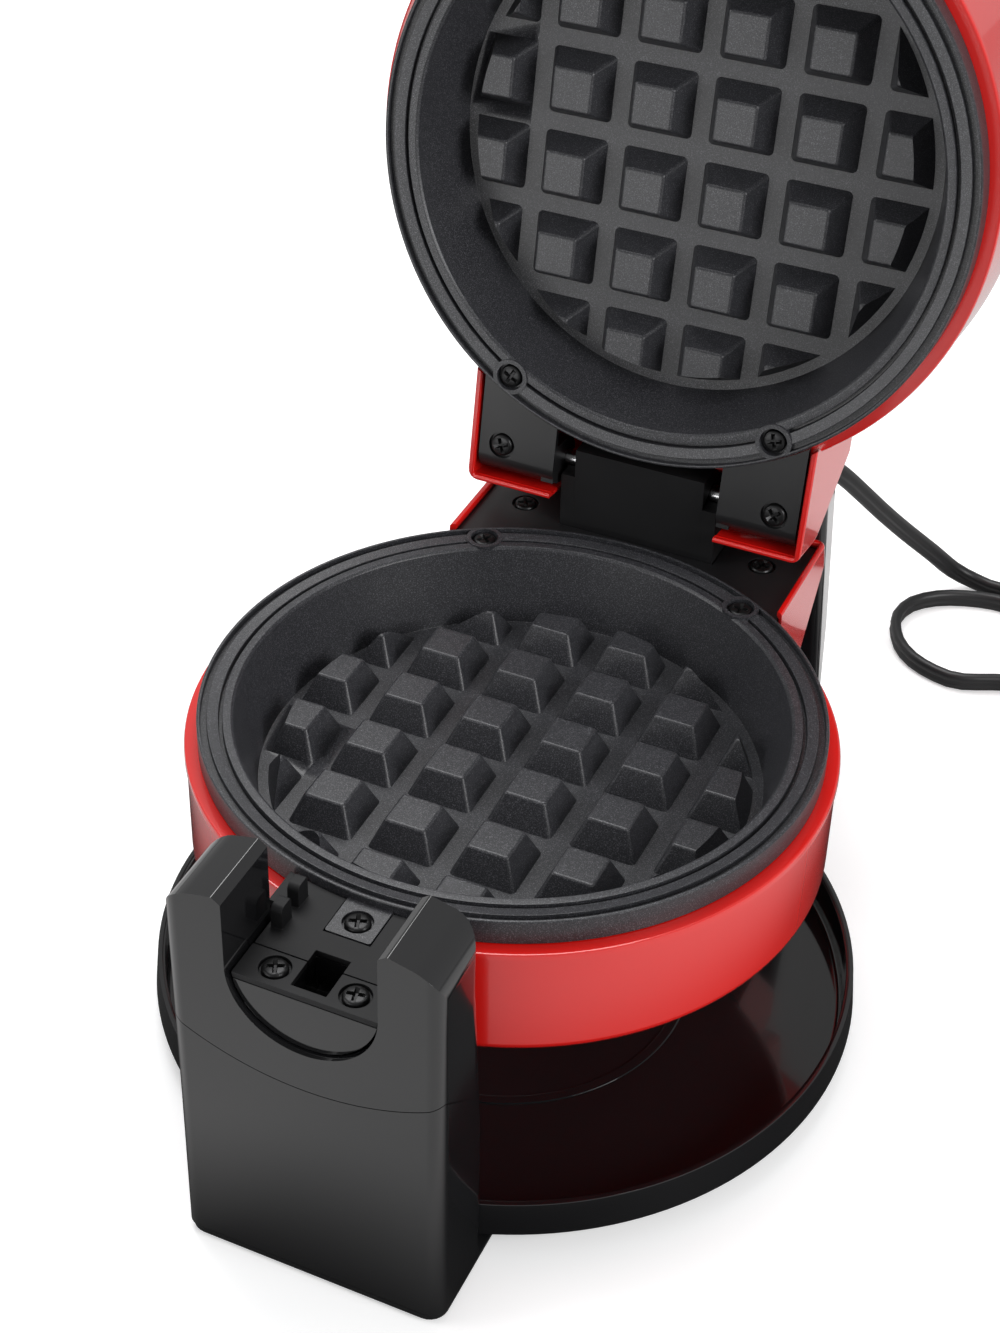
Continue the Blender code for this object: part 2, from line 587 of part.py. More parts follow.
def grid_plate(half):
    """A cast plate: stepped rim, sloping basin wall and a floor with square pegs."""
    name = f"{half['name']}_grid_plate"
    sign = half["sign"]
    groove = PLATE_RADIUS - RIM_LIP
    land = groove - RIM_GROOVE_WIDTH
    ridge = BASIN_EDGE_RADIUS + RIM_RIDGE_WIDTH
    profile = [
        (PLATE_RADIUS, PLATE_SKIRT), (PLATE_RADIUS, RIM_BEVEL), (PLATE_RADIUS - RIM_BEVEL, 0), (groove, 0),
        (groove, RIM_GROOVE_DEPTH), (land, RIM_GROOVE_DEPTH), (land, RIM_LAND_DEPTH),
        (land - RIM_LAND_WIDTH, RIM_LAND_DEPTH), (ridge + RIM_BEVEL, RIM_GROOVE_DEPTH),
        (ridge, 0), (BASIN_EDGE_RADIUS + RIM_BEVEL, 0), (BASIN_EDGE_RADIUS, RIM_BEVEL),
        (GRID_RADIUS, GRID_DEPTH), (0, GRID_DEPTH), (0, GRID_DEPTH + PLATE_THICKNESS),
        (GRID_RADIUS + PLATE_THICKNESS, GRID_DEPTH + PLATE_THICKNESS),
        (BASIN_EDGE_RADIUS + PLATE_THICKNESS, RIM_THICKNESS), (groove, RIM_THICKNESS), (groove, PLATE_SKIRT),
    ]
    plate = turned(name, [(r, level(half, d)) for r, d in profile], NONSTICK, half["frame"])
    draft = (PEG_BASE - PEG_TOP) / 2
    root = draft / PEG_HEIGHT * PLATE_THICKNESS / 2
    points = []
    faces = []
    reach = math.ceil(GRID_RADIUS / PEG_PITCH)
    middles = [(k + 0.5) * PEG_PITCH for k in range(-reach, reach)]
    for x in middles:
        for y in middles:
            nearest = math.hypot(abs(x) - PEG_BASE / 2, abs(y) - PEG_BASE / 2)
            if nearest > GRID_RADIUS - draft:
                continue
            start = len(points)
            for half_side, depth in (
                (PEG_BASE / 2 + root, GRID_DEPTH + PLATE_THICKNESS / 2),
                (PEG_TOP / 2, GRID_DEPTH - PEG_HEIGHT),
            ):
                for u, v in ((-1, -1), (1, -1), (1, 1), (-1, 1)):
                    points.append((x + u * half_side, y + v * half_side, level(half, depth)))
            faces += [[start + i for i in ring] for ring in ((0, 1, 2, 3), (4, 5, 6, 7))]
            for i in range(4):
                following = (i + 1) % 4
                faces.append([start + i, start + following, start + 4 + following, start + 4 + i])
    pegs = place(f"{name}_pegs", mesh_of(f"{name}_pegs", points, faces), None, half["frame"])
    edge = GRID_RADIUS - GAP
    bound = turned(f"{name}_peg_bound", [
        (0, level(half, GRID_DEPTH + PLATE_THICKNESS)),
        (edge + draft * PLATE_THICKNESS / PEG_HEIGHT, level(half, GRID_DEPTH + PLATE_THICKNESS)),
        (edge - draft, level(half, GRID_DEPTH - PEG_HEIGHT)),
        (edge - draft, level(half, GRID_DEPTH - PEG_HEIGHT - OVERRUN)),
        (0, level(half, GRID_DEPTH - PEG_HEIGHT - OVERRUN)),
    ], None, half["frame"])
    combine(pegs, bound, "INTERSECT")
    combine(plate, pegs, "UNION")
    tab = box(f"{name}_tab", (-TAB_HALF_WIDTH, TAB_HALF_WIDTH), (-TAB_END, -(PLATE_RADIUS - RIM_LIP / 2)),
              (level(half, TAB_DEPTH), level(half, TAB_DEPTH + TAB_THICKNESS)), None, half["frame"])
    combine(plate, tab, "UNION")
    screw_hole(plate, f"{name}_tab_hole", 0, TAB_SCREW_Y, level(half, TAB_DEPTH), sign, RECESS_DEPTH)
    head_under = level(half, TAB_DEPTH + RECESS_DEPTH) - sign * GAP
    screw(f"{half['name']}_plate_screw_front", 0, TAB_SCREW_Y, head_under, sign, BLACK_STEEL, half["frame"])
    for side, word in ((-1, "left"), (1, "right")):
        x = side * PLATE_SCREW_RADIUS * math.sin(PLATE_SCREW_ANGLE)
        y = PLATE_SCREW_RADIUS * math.cos(PLATE_SCREW_ANGLE)
        recess = SCREW_HEAD_HEIGHT + 2 * GAP + RIM_LAND_DEPTH
        screw_hole(plate, f"{name}_{word}_hole", x, y, level(half, 0), sign, recess)
        head_under = level(half, recess) - sign * GAP
        screw(f"{half['name']}_plate_screw_{word}", x, y, head_under, sign, BLACK_STEEL, half["frame"])
    return plate


def housing(half, outline):
    """A red drum with an inward flange under the plate, joined to a box at the hinge side."""
    name = f"{half['name']}_housing"
    top = PLATE_SKIRT + GAP
    corner = [(DRUM_RADIUS - DRUM_CORNER + DRUM_CORNER * math.cos(turn),
               DRUM_DEPTH - DRUM_CORNER + DRUM_CORNER * math.sin(turn))
              for turn in (math.pi / 2 * i / CORNER_STEPS for i in range(CORNER_STEPS + 1))]
    inner = [(DRUM_RADIUS - DRUM_CORNER + (DRUM_CORNER - SHELL_WALL) * math.cos(turn),
              DRUM_DEPTH - DRUM_CORNER + (DRUM_CORNER - SHELL_WALL) * math.sin(turn))
             for turn in (math.pi / 2, math.pi / 4, 0.0)]
    flange = BEAD_RADIUS - FLANGE_WIDTH
    profile = [(flange, top), (BEAD_RADIUS - RIM_BEVEL, top), (BEAD_RADIUS, top + RIM_BEVEL),
               (BEAD_RADIUS, top + BEAD_HEIGHT - RIM_BEVEL), (DRUM_RADIUS, top + BEAD_HEIGHT)]
    profile += corner + [(0, DRUM_DEPTH), (0, DRUM_DEPTH - SHELL_WALL)] + inner
    profile += [(DRUM_RADIUS - SHELL_WALL, top + SHELL_WALL), (flange, top + SHELL_WALL)]
    drum = turned(name, [(r, level(half, d)) for r, d in profile], RED, half["frame"])
    walls = [(y, level(half, d)) for y, d in outline]
    case = prism(f"{name}_box", walls, -BOX_HALF_WIDTH, BOX_HALF_WIDTH, "X", None, half["frame"])
    hollow = inset(walls, SHELL_WALL)
    lift = half["sign"] * (outline[0][1] + OVERRUN)
    for i in (0, 1):
        hollow[i] = (hollow[i][0], hollow[i][1] - lift)
    hollow[0] = (hollow[0][0] - OVERRUN, hollow[0][1])
    hollow[-1] = (hollow[-1][0] - OVERRUN, hollow[-1][1])
    inside = BOX_HALF_WIDTH - SHELL_WALL
    combine(case, prism(f"{name}_box_hollow", hollow, -inside, inside, "X", None, half["frame"]))
    heights = sorted((level(half, -OVERRUN), level(half, DRUM_DEPTH + OVERRUN)))
    inside = circle(DRUM_RADIUS - SHELL_WALL / 2)
    bore = prism(f"{name}_drum_bore", inside, *heights, "Z", None, half["frame"])
    combine(case, bore)
    combine(drum, case, "UNION")
    return drum


def heating(half):
    """The tubular element under its plate, and the reflector that clamps it there."""
    behind = GRID_DEPTH + PLATE_THICKNESS + GAP
    depth = behind + ELEMENT_TUBE_RADIUS
    sweep = math.tau - ELEMENT_OPENING
    points = []
    for i in range(ELEMENT_STEPS + 1):
        turn = math.pi / 2 + ELEMENT_OPENING / 2 + sweep * i / ELEMENT_STEPS
        points.append((ELEMENT_RADIUS * math.cos(turn), ELEMENT_RADIUS * math.sin(turn), level(half, depth)))
    ends = [Vector(points[0]), Vector(points[-1])]
    out = ELEMENT_RADIUS + ELEMENT_TAIL
    tails = [(end.x, end.y * out / ELEMENT_RADIUS, end.z) for end in ends]
    points = [tails[0]] + points + [tails[1]]
    tube(f"{half['name']}_heating_element", points, ELEMENT_TUBE_RADIUS, STEEL, half["frame"], 1)
    face = depth + ELEMENT_TUBE_RADIUS + GAP
    lip = REFLECTOR_RADIUS - REFLECTOR_THICKNESS
    profile = [
        (REFLECTOR_HOLE, face), (lip, face), (lip, face - REFLECTOR_EDGE),
        (REFLECTOR_RADIUS, face - REFLECTOR_EDGE),
        (REFLECTOR_RADIUS, face + REFLECTOR_THICKNESS), (REFLECTOR_HOLE, face + REFLECTOR_THICKNESS),
    ]
    turned(f"{half['name']}_reflector", [(r, level(half, d)) for r, d in profile], STEEL, half["frame"])


def controls():
    """The thermostat and the thermal fuse on the back of the lower plate."""
    top = level(LOWER, GRID_DEPTH + PLATE_THICKNESS + GAP)
    profile = [(0, top), (THERMOSTAT_RADIUS, top), (THERMOSTAT_RADIUS, top - THERMOSTAT_HEIGHT)]
    profile += [(0, top - THERMOSTAT_HEIGHT)]
    turned("thermostat", profile, STEEL, steps=PIN_STEPS)
    outline = circle(FUSE_RADIUS, (FUSE_Y, top - FUSE_RADIUS), SCREW_STEPS)
    prism("thermal_fuse", outline, -FUSE_HALF_LENGTH, FUSE_HALF_LENGTH, "X", STEEL)


def slope_y(height, setback):
    """Where the lower box's sloping back wall lies at a height, less a setback."""
    top_y = LOWER_BOX_BACK + LOWER_BOX_BULGE
    share = (-height - LOWER_BOX_BULGE_DEPTH) / (LOWER_BOX_FOOT_DEPTH - LOWER_BOX_BULGE_DEPTH)
    return top_y + (LOWER_BOX_FOOT - top_y) * share - setback


def hinge():
    """The block that stands up from the lower unit, the pin through it, and the lid's two ear plates."""
    setback = (SHELL_WALL + GAP) / math.cos(math.atan2(
        LOWER_BOX_BACK + LOWER_BOX_BULGE - LOWER_BOX_FOOT, LOWER_BOX_FOOT_DEPTH - LOWER_BOX_BULGE_DEPTH))
    bend = -(LOWER_BOX_BULGE_DEPTH + (LOWER_BOX_BACK + LOWER_BOX_BULGE - setback - BLOCK_BACK)
             * (LOWER_BOX_FOOT_DEPTH - LOWER_BOX_BULGE_DEPTH)
             / (LOWER_BOX_BACK + LOWER_BOX_BULGE - LOWER_BOX_FOOT))
    outline = [
        (BLOCK_FRONT, -BLOCK_BOTTOM), (slope_y(-BLOCK_BOTTOM, setback), -BLOCK_BOTTOM), (BLOCK_BACK, bend),
        (BLOCK_BACK, REAR_HUB_RADIUS), (BLOCK_TOP_BACK, BLOCK_TOP), (BLOCK_FRONT_TOP, BLOCK_TOP),
        (BLOCK_FRONT, -HUB_COVER_DEPTH),
    ]
    block = prism("hinge_block", outline, -BLOCK_HALF_WIDTH, BLOCK_HALF_WIDTH, "X", SATIN)
    half_width = BLOCK_SHOULDER_HALF_WIDTH
    shoulder = prism("hinge_block_shoulder", outline, -half_width, half_width, "X")
    above = (BLOCK_SHOULDER_TOP, BLOCK_TOP + OVERRUN)
    wide = BLOCK_SHOULDER_HALF_WIDTH + OVERRUN
    span = (BLOCK_FRONT_TOP - OVERRUN, BLOCK_BACK + OVERRUN)
    combine(shoulder, box("hinge_block_above", (-wide, wide), span, above))
    combine(block, shoulder, "UNION")
    bore = circle(PIN_RADIUS + PIN_CLEARANCE, (HINGE_Y, HINGE_Z), PIN_STEPS)
    combine(block, prism("hinge_block_bore", bore, -wide, wide, "X"))
    pin = circle(PIN_RADIUS, (HINGE_Y, HINGE_Z), PIN_STEPS)
    prism("hinge_pin", pin, -PIN_HALF_LENGTH, PIN_HALF_LENGTH, "X", STEEL)
    outer = BOX_HALF_WIDTH - SHELL_WALL - GAP
    back = LID_BOX_BACK - SHELL_WALL - GAP
    depths = (level(UPPER, EAR_DEPTH), level(UPPER, EAR_DEPTH + EAR_THICKNESS))
    for side, word in ((-1, "left"), (1, "right")):
        name = f"lid_ear_{word}"
        xs = sorted((side * EAR_INNER, side * outer))
        ear = box(name, xs, (PLATE_ARC_START, back), depths, SATIN, LID)
        combine(ear, prism(f"{name}_front", circle(EAR_FRONT_RADIUS),
                           depths[0] - OVERRUN, depths[1] + OVERRUN, "Z", None, LID))
        xs = sorted((side * EAR_INNER, side * (EAR_INNER + CHEEK_THICKNESS)))
        cheek_span = (HINGE_Y - CHEEK_REACH, HINGE_Y + CHEEK_REACH)
        cheek = box(f"{name}_cheek", xs, cheek_span, (depths[0], CHEEK_TOP), None, LID)
        combine(ear, cheek, "UNION")
        hole = circle(PIN_RADIUS + PIN_CLEARANCE, (HINGE_Y, HINGE_Z), PIN_STEPS)
        span = sorted((side * (EAR_INNER - OVERRUN), side * (EAR_INNER + CHEEK_THICKNESS + OVERRUN)))
        combine(ear, prism(f"{name}_pin_hole", hole, *span, "X", None, LID))
        x = side * EAR_SCREW_X
        screw_hole(ear, f"{name}_screw_hole", x, EAR_SCREW_Y, depths[0], 1)
        head_under = depths[0] + RECESS_DEPTH - GAP
        screw(f"ear_screw_{word}", x, EAR_SCREW_Y, head_under, 1, BLACK_STEEL, LID)


def rear_cover():
    """The flat cover round the hinge block, with its two screws."""
    half_width = BOX_HALF_WIDTH - SHELL_WALL - GAP
    top = -REAR_COVER_DEPTH
    bottom = top - REAR_COVER_THICKNESS
    span = (PLATE_ARC_START, REAR_COVER_BACK)
    cover = box("rear_cover", (-half_width, half_width), span, (bottom, top), SATIN)
    clear = PLATE_RADIUS + GAP * 2
    combine(cover, prism("rear_cover_front", circle(clear), bottom - OVERRUN, top + OVERRUN, "Z"))
    notch = BLOCK_SHOULDER_HALF_WIDTH + GAP
    combine(cover, box("rear_cover_notch", (-notch, notch), (BLOCK_FRONT - GAP, REAR_COVER_BACK + OVERRUN),
                       (bottom - OVERRUN, top + OVERRUN)))
    for side, word in ((-1, "left"), (1, "right")):
        x = side * REAR_COVER_SCREW_X
        screw_hole(cover, f"rear_cover_hole_{word}", x, REAR_COVER_SCREW_Y, top, -1)
        screw(f"rear_cover_screw_{word}", x, REAR_COVER_SCREW_Y, top - RECESS_DEPTH + GAP, -1, BLACK_STEEL)


def half_disc(radius, flat, steps=ROUND_STEPS // 2, sign=-1):
    """A round outline cut off by a level line, as points of X and height."""
    start = math.asin(flat / radius)
    turns = [start + (math.pi - 2 * start) * i / steps for i in range(steps + 1)]
    return [(radius * math.cos(turn), sign * radius * math.sin(turn)) for turn in turns]


def neck():
    """The lower unit's half-moon hub, its neck to the drum, the cap and cover on top, and their screws."""
    body_top = HUB_COVER_DEPTH + HUB_COVER_THICKNESS + GAP
    hub = prism("neck", half_disc(HUB_RADIUS, body_top), HUB_FRONT, -DRUM_RADIUS + OVERRUN, "Y", SATIN)
    flare = [(-NECK_HALF_WIDTH, -body_top, 0), (NECK_HALF_WIDTH, -body_top, 0),
             (NECK_HALF_WIDTH, -NECK_FLARE_DEPTH, NECK_HALF_WIDTH / 2),
             (-NECK_HALF_WIDTH, -NECK_FLARE_DEPTH, NECK_HALF_WIDTH / 2)]
    flare_end = -DRUM_RADIUS + OVERRUN * 2
    combine(hub, prism("neck_flare", rounded(flare), NECK_FLARE_START, flare_end, "Y"), "UNION")
    clear = circle(BEAD_RADIUS + GAP)
    combine(hub, prism("neck_drum", clear, -NECK_FLARE_DEPTH - OVERRUN, 0, "Z"))
    slot = box("neck_slot", (-SLOT_HALF_WIDTH, SLOT_HALF_WIDTH), (SLOT_FRONT - SLOT_UNDERCUT, SLOT_BACK),
               (-body_top - SLOT_DEPTH, 0))
    combine(hub, slot)
    shank_top = -body_top + OVERRUN
    places = [("left", -HUB_SCREW_X, HUB_SCREW_Y), ("right", HUB_SCREW_X, HUB_SCREW_Y),
              ("tab", 0, TAB_SCREW_Y)]
    for word, x, y in places:
        hole = circle(SHANK_HOLE_RADIUS, (x, y), HOLE_STEPS)
        combine(hub, prism(f"neck_hole_{word}", hole, -body_top - SCREW_LENGTH, shank_top, "Z"))
    top = -HUB_COVER_DEPTH
    under = top - HUB_COVER_THICKNESS
    half_front = math.sqrt(HUB_RADIUS**2 - (HUB_COVER_DEPTH + HUB_COVER_THICKNESS) ** 2)
    cap = box("hub_cap", (-half_front, half_front), (HUB_FRONT, HUB_SEAM_Y), (under, top), SATIN)
    cover_outline = [
        (-half_front, HUB_SEAM_Y + GAP), (half_front, HUB_SEAM_Y + GAP), (half_front, NECK_FLARE_START),
        (NECK_HALF_WIDTH, NECK_FLARE_START), (NECK_HALF_WIDTH, NECK_ARC_START),
        (-NECK_HALF_WIDTH, NECK_ARC_START), (-NECK_HALF_WIDTH, NECK_FLARE_START),
        (-half_front, NECK_FLARE_START),
    ]
    cover = prism("neck_cover", cover_outline, under, top, "Z", SATIN)
    for number in (0, 1):
        front = RIB_FRONT + number * RIB_PITCH
        rib = box(f"neck_rib_{number}", (-RIB_INNER - RIB_WIDTH, -RIB_INNER), (front, front + RIB_LENGTH),
                  (under + HUB_COVER_THICKNESS / 2, RIB_TOP))
        combine(cover, rib, "UNION")
    clear = circle(PLATE_RADIUS + GAP * 2)
    combine(cover, prism("neck_cover_rear", clear, under - OVERRUN, RIB_TOP + OVERRUN, "Z"))
    notch = TAB_HALF_WIDTH + GAP
    combine(cover, box("neck_cover_notch", (-notch, notch), (-TAB_END - GAP, -PLATE_RADIUS + OVERRUN),
                       (under - OVERRUN, top + OVERRUN)))
    for piece, word in ((cap, "cap"), (cover, "cover")):
        combine(piece, box(f"latch_slot_{word}", (-SLOT_HALF_WIDTH, SLOT_HALF_WIDTH), (SLOT_FRONT, SLOT_BACK),
                           (under - OVERRUN, top + OVERRUN)))
    for side, word in ((-1, "left"), (1, "right")):
        x = side * HUB_SCREW_X
        screw_hole(cap, f"hub_cap_hole_{word}", x, HUB_SCREW_Y, top, -1)
        screw(f"hub_screw_{word}", x, HUB_SCREW_Y, top - RECESS_DEPTH + GAP, -1, BLACK_STEEL,
              length=SCREW_LENGTH - RECESS_DEPTH)


def lid_front():
    """The lid's half hub, the handle on it and the latch slider through it."""
    flat = level(UPPER, 0)
    moon = half_disc(HUB_RADIUS, flat, sign=1)
    hub = prism("lid_neck", moon, HUB_FRONT, -DRUM_RADIUS + OVERRUN, "Y", SATIN, LID)
    clear = circle(BEAD_RADIUS + GAP)
    combine(hub, prism("lid_neck_drum", clear, -OVERRUN, HUB_RADIUS + OVERRUN, "Z", None, LID))
    tab_room = TAB_HALF_WIDTH + GAP
    combine(hub, box("lid_neck_tab_room", (-tab_room, tab_room), (-TAB_END - GAP, -PLATE_RADIUS),
                     (-OVERRUN, level(UPPER, TAB_DEPTH + TAB_THICKNESS + GAP)), None, LID))
    hole = circle(SHANK_HOLE_RADIUS, (0, TAB_SCREW_Y), HOLE_STEPS)
    hole_end = level(UPPER, TAB_DEPTH + SCREW_LENGTH + OVERRUN)
    combine(hub, prism("lid_neck_tab_hole", hole, 0, hole_end, "Z", None, LID))
    rib_front = RIB_FRONT - RIM_BEVEL
    combine(hub, box("lid_neck_rib_room", (-HUB_RADIUS - OVERRUN, -RIB_INNER + RIM_BEVEL),
                     (rib_front, -DRUM_RADIUS + OVERRUN), (-OVERRUN, RIB_TOP + RIM_BEVEL), None, LID))
    slot_x = LATCH_HALF_WIDTH + GAP
    slot_y = (LATCH_STEM_FRONT - GAP, LATCH_STEM_BACK + LATCH_TRAVEL + GAP)
    combine(hub, box("lid_neck_slot", (-slot_x, slot_x), slot_y, (-OVERRUN, HUB_RADIUS + OVERRUN), None, LID))
    pad_under = HUB_RADIUS + GAP
    head = box("latch_slider", (-LATCH_HALF_WIDTH, LATCH_HALF_WIDTH), (LATCH_STEM_FRONT, LATCH_STEM_BACK),
               (-LATCH_TIP, pad_under + LATCH_PAD_THICKNESS / 2), RUBBER, LID)
    middle = (LATCH_STEM_FRONT + LATCH_STEM_BACK) / 2
    pad = [(-LATCH_PAD_HALF_WIDTH, middle - LATCH_PAD_LENGTH / 2, LATCH_PAD_THICKNESS),
           (LATCH_PAD_HALF_WIDTH, middle - LATCH_PAD_LENGTH / 2, LATCH_PAD_THICKNESS),
           (LATCH_PAD_HALF_WIDTH, middle + LATCH_PAD_LENGTH / 2, LATCH_PAD_THICKNESS),
           (-LATCH_PAD_HALF_WIDTH, middle + LATCH_PAD_LENGTH / 2, LATCH_PAD_THICKNESS)]
    pad_top = pad_under + LATCH_PAD_THICKNESS
    combine(head, prism("latch_pad", rounded(pad), pad_under, pad_top, "Z", None, LID), "UNION")
    hook_top = -(HUB_COVER_DEPTH + HUB_COVER_THICKNESS + GAP)
    hook = [(LATCH_STEM_FRONT + RIM_BEVEL, hook_top), (LATCH_STEM_FRONT - LATCH_HOOK, hook_top),
            (LATCH_STEM_FRONT + RIM_BEVEL, -LATCH_TIP)]
    combine(head, prism("latch_hook", hook, -LATCH_HALF_WIDTH, LATCH_HALF_WIDTH, "X", None, LID), "UNION")
    start = HUB_FRONT - GAP
    bottom = level(UPPER, HANDLE_BOTTOM)
    loops = []
    for share, half_width in (
        (0, HANDLE_HALF_WIDTH), (HANDLE_STRAIGHT_SHARE, HANDLE_HALF_WIDTH),
        (HANDLE_SWELL_SHARE, HANDLE_END_HALF_WIDTH), (1, HANDLE_END_HALF_WIDTH - HANDLE_CORNER / 2),
    ):
        corners = [(-half_width, bottom, HANDLE_CORNER), (half_width, bottom, HANDLE_CORNER),
                   (half_width, HANDLE_TOP, HANDLE_CORNER), (-half_width, HANDLE_TOP, HANDLE_CORNER)]
        loops.append([(x, start - share * HANDLE_LENGTH, z) for x, z in rounded(corners)])
    grip = layered("handle", loops, SATIN, LID)
    screw_hole(grip, "handle_screw_hole", 0, HANDLE_SCREW_Y, bottom, 1)
    screw("handle_screw", 0, HANDLE_SCREW_Y, bottom + RECESS_DEPTH - GAP, 1, BLACK_STEEL, LID)


def footprint(corners, name, low, high, paint=None):
    """A flat plate with rounded corners."""
    return prism(name, rounded(corners), low, high, "Z", paint)


def base():
    """The dish, the bottom plate with its two lugs, the rubber feet and the bottom screws."""
    ring_in = DISH_RING_RADIUS - DISH_RING_WIDTH / 2
    ring_out = DISH_RING_RADIUS + DISH_RING_WIDTH / 2
    ring_slope = DISH_RING_HEIGHT / 2
    inside = DISH_RIM_RADIUS - DISH_WALL
    profile = [
        (DISH_FOOT_RADIUS, -DISH_BOTTOM_DEPTH),
        (DISH_EDGE_RADIUS - DISH_WALL, -DISH_EDGE_DEPTH - DISH_WALL / 2),
        (DISH_EDGE_RADIUS, -DISH_EDGE_DEPTH), (DISH_RIM_RADIUS, -DISH_RIM_DEPTH - RIM_BEVEL),
        (DISH_RIM_RADIUS - RIM_BEVEL, -DISH_RIM_DEPTH), (inside, -DISH_RIM_DEPTH - RIM_BEVEL),
        (inside, -DISH_FLOOR_DEPTH + DISH_FLOOR_ROUND), (inside - DISH_FLOOR_ROUND, -DISH_FLOOR_DEPTH),
        (ring_out, -DISH_FLOOR_DEPTH), (ring_out - ring_slope, -DISH_FLOOR_DEPTH + DISH_RING_HEIGHT),
        (ring_in + ring_slope, -DISH_FLOOR_DEPTH + DISH_RING_HEIGHT), (ring_in, -DISH_FLOOR_DEPTH),
        (0, -DISH_FLOOR_DEPTH), (0, -DISH_BOTTOM_DEPTH),
    ]
    turned("base_dish", profile, GLOSS)
    top = -DISH_BOTTOM_DEPTH - GAP
    under = top - BOTTOM_THICKNESS
    plate = prism("bottom_plate", circle(DISH_FOOT_RADIUS), under, top, "Z", SATIN)
    front = PILLAR_FOOT_HALF_WIDTH
    back = COLUMN_FOOT_HALF_WIDTH
    lugs = [
        ("front_lug", [(-front, PILLAR_FRONT), (front, PILLAR_FRONT), (front, -LUG_REACH),
                       (-front, -LUG_REACH)]),
        ("rear_lug", [(-back, LUG_REACH), (back, LUG_REACH), (back - COLUMN_TAPER, COLUMN_BACK),
                      (-back + COLUMN_TAPER, COLUMN_BACK)]),
    ]
    for name, corners in lugs:
        lug = footprint([(x, y, LUG_CORNER) for x, y in corners], name, under, top)
        combine(plate, lug, "UNION")
    head_top = under - GAP
    screws = [("front_left", -front + BASE_SCREW_INSET, PILLAR_FRONT + BASE_SCREW_INSET),
              ("front_right", front - BASE_SCREW_INSET, PILLAR_FRONT + BASE_SCREW_INSET),
              ("rear_left", -back + REAR_SCREW_INSET, COLUMN_BACK - BASE_SCREW_INSET),
              ("rear_right", back - REAR_SCREW_INSET, COLUMN_BACK - BASE_SCREW_INSET)]
    for word, x, y in screws:
        hole = circle(SHANK_HOLE_RADIUS, (x, y), HOLE_STEPS)
        combine(plate, prism(f"bottom_hole_{word}", hole, under - OVERRUN, top + OVERRUN, "Z"))
        screw(f"bottom_screw_{word}", x, y, head_top, 1, BLACK_STEEL, head=BASE_SCREW_HEAD)
    foot_top = under - GAP
    for word, x, y in (("front_left", -FOOT_X, -FOOT_Y), ("front_right", FOOT_X, -FOOT_Y),
                       ("rear_left", -FOOT_X, FOOT_Y), ("rear_right", FOOT_X, FOOT_Y)):
        profile = [(0, foot_top), (FOOT_RADIUS, foot_top), (FOOT_RADIUS - GAP, TABLE), (0, TABLE)]
        turned(f"foot_{word}", profile, RUBBER, steps=PIN_STEPS, centre=(x, y))
    return screws


def pillar_loops(shrink, heights):
    """Outlines of the front pillar at rising heights, less a wall all round."""
    loops = []
    for height in heights:
        share = (height + DISH_BOTTOM_DEPTH) / (ARM_TOP + DISH_BOTTOM_DEPTH)
        half = PILLAR_FOOT_HALF_WIDTH + (PILLAR_TOP_HALF_WIDTH - PILLAR_FOOT_HALF_WIDTH) * share - shrink
        rise = min(1.0, max(0.0, (height + PILLAR_BACK_DEPTH) / PILLAR_BACK_DEPTH))
        back = PILLAR_BACK + (PILLAR_ARM_BACK - PILLAR_BACK) * rise - shrink
        front = PILLAR_FRONT + shrink
        corners = [(-half, front, PILLAR_CORNER), (half, front, PILLAR_CORNER),
                   (half, back, PILLAR_CORNER / 2), (-half, back, PILLAR_CORNER / 2)]
        loops.append([(x, y, height) for x, y in rounded(corners)])
    return loops


def above_seam(name, offset):
    """A guide solid that fills everything above the curved seam, moved up by an offset."""
    loops = []
    wide = PILLAR_FOOT_HALF_WIDTH + OVERRUN
    for y in (PILLAR_FRONT - OVERRUN, SEAM_LEVEL_Y, PILLAR_BACK + OVERRUN):
        fall = SEAM_FALL_SHARE * max(0.0, y - SEAM_LEVEL_Y)
        loop = []
        for i in range(SEAM_STEPS + 1):
            x = -wide + 2 * wide * i / SEAM_STEPS
            rise = SEAM_RADIUS - math.sqrt(SEAM_RADIUS**2 - x**2)
            loop.append((x, y, -SEAM_DEPTH + rise - fall + offset))
        loop += [(wide, y, ARM_TOP + OVERRUN), (-wide, y, ARM_TOP + OVERRUN)]
        loops.append(loop)
    return layered(name, loops, None)


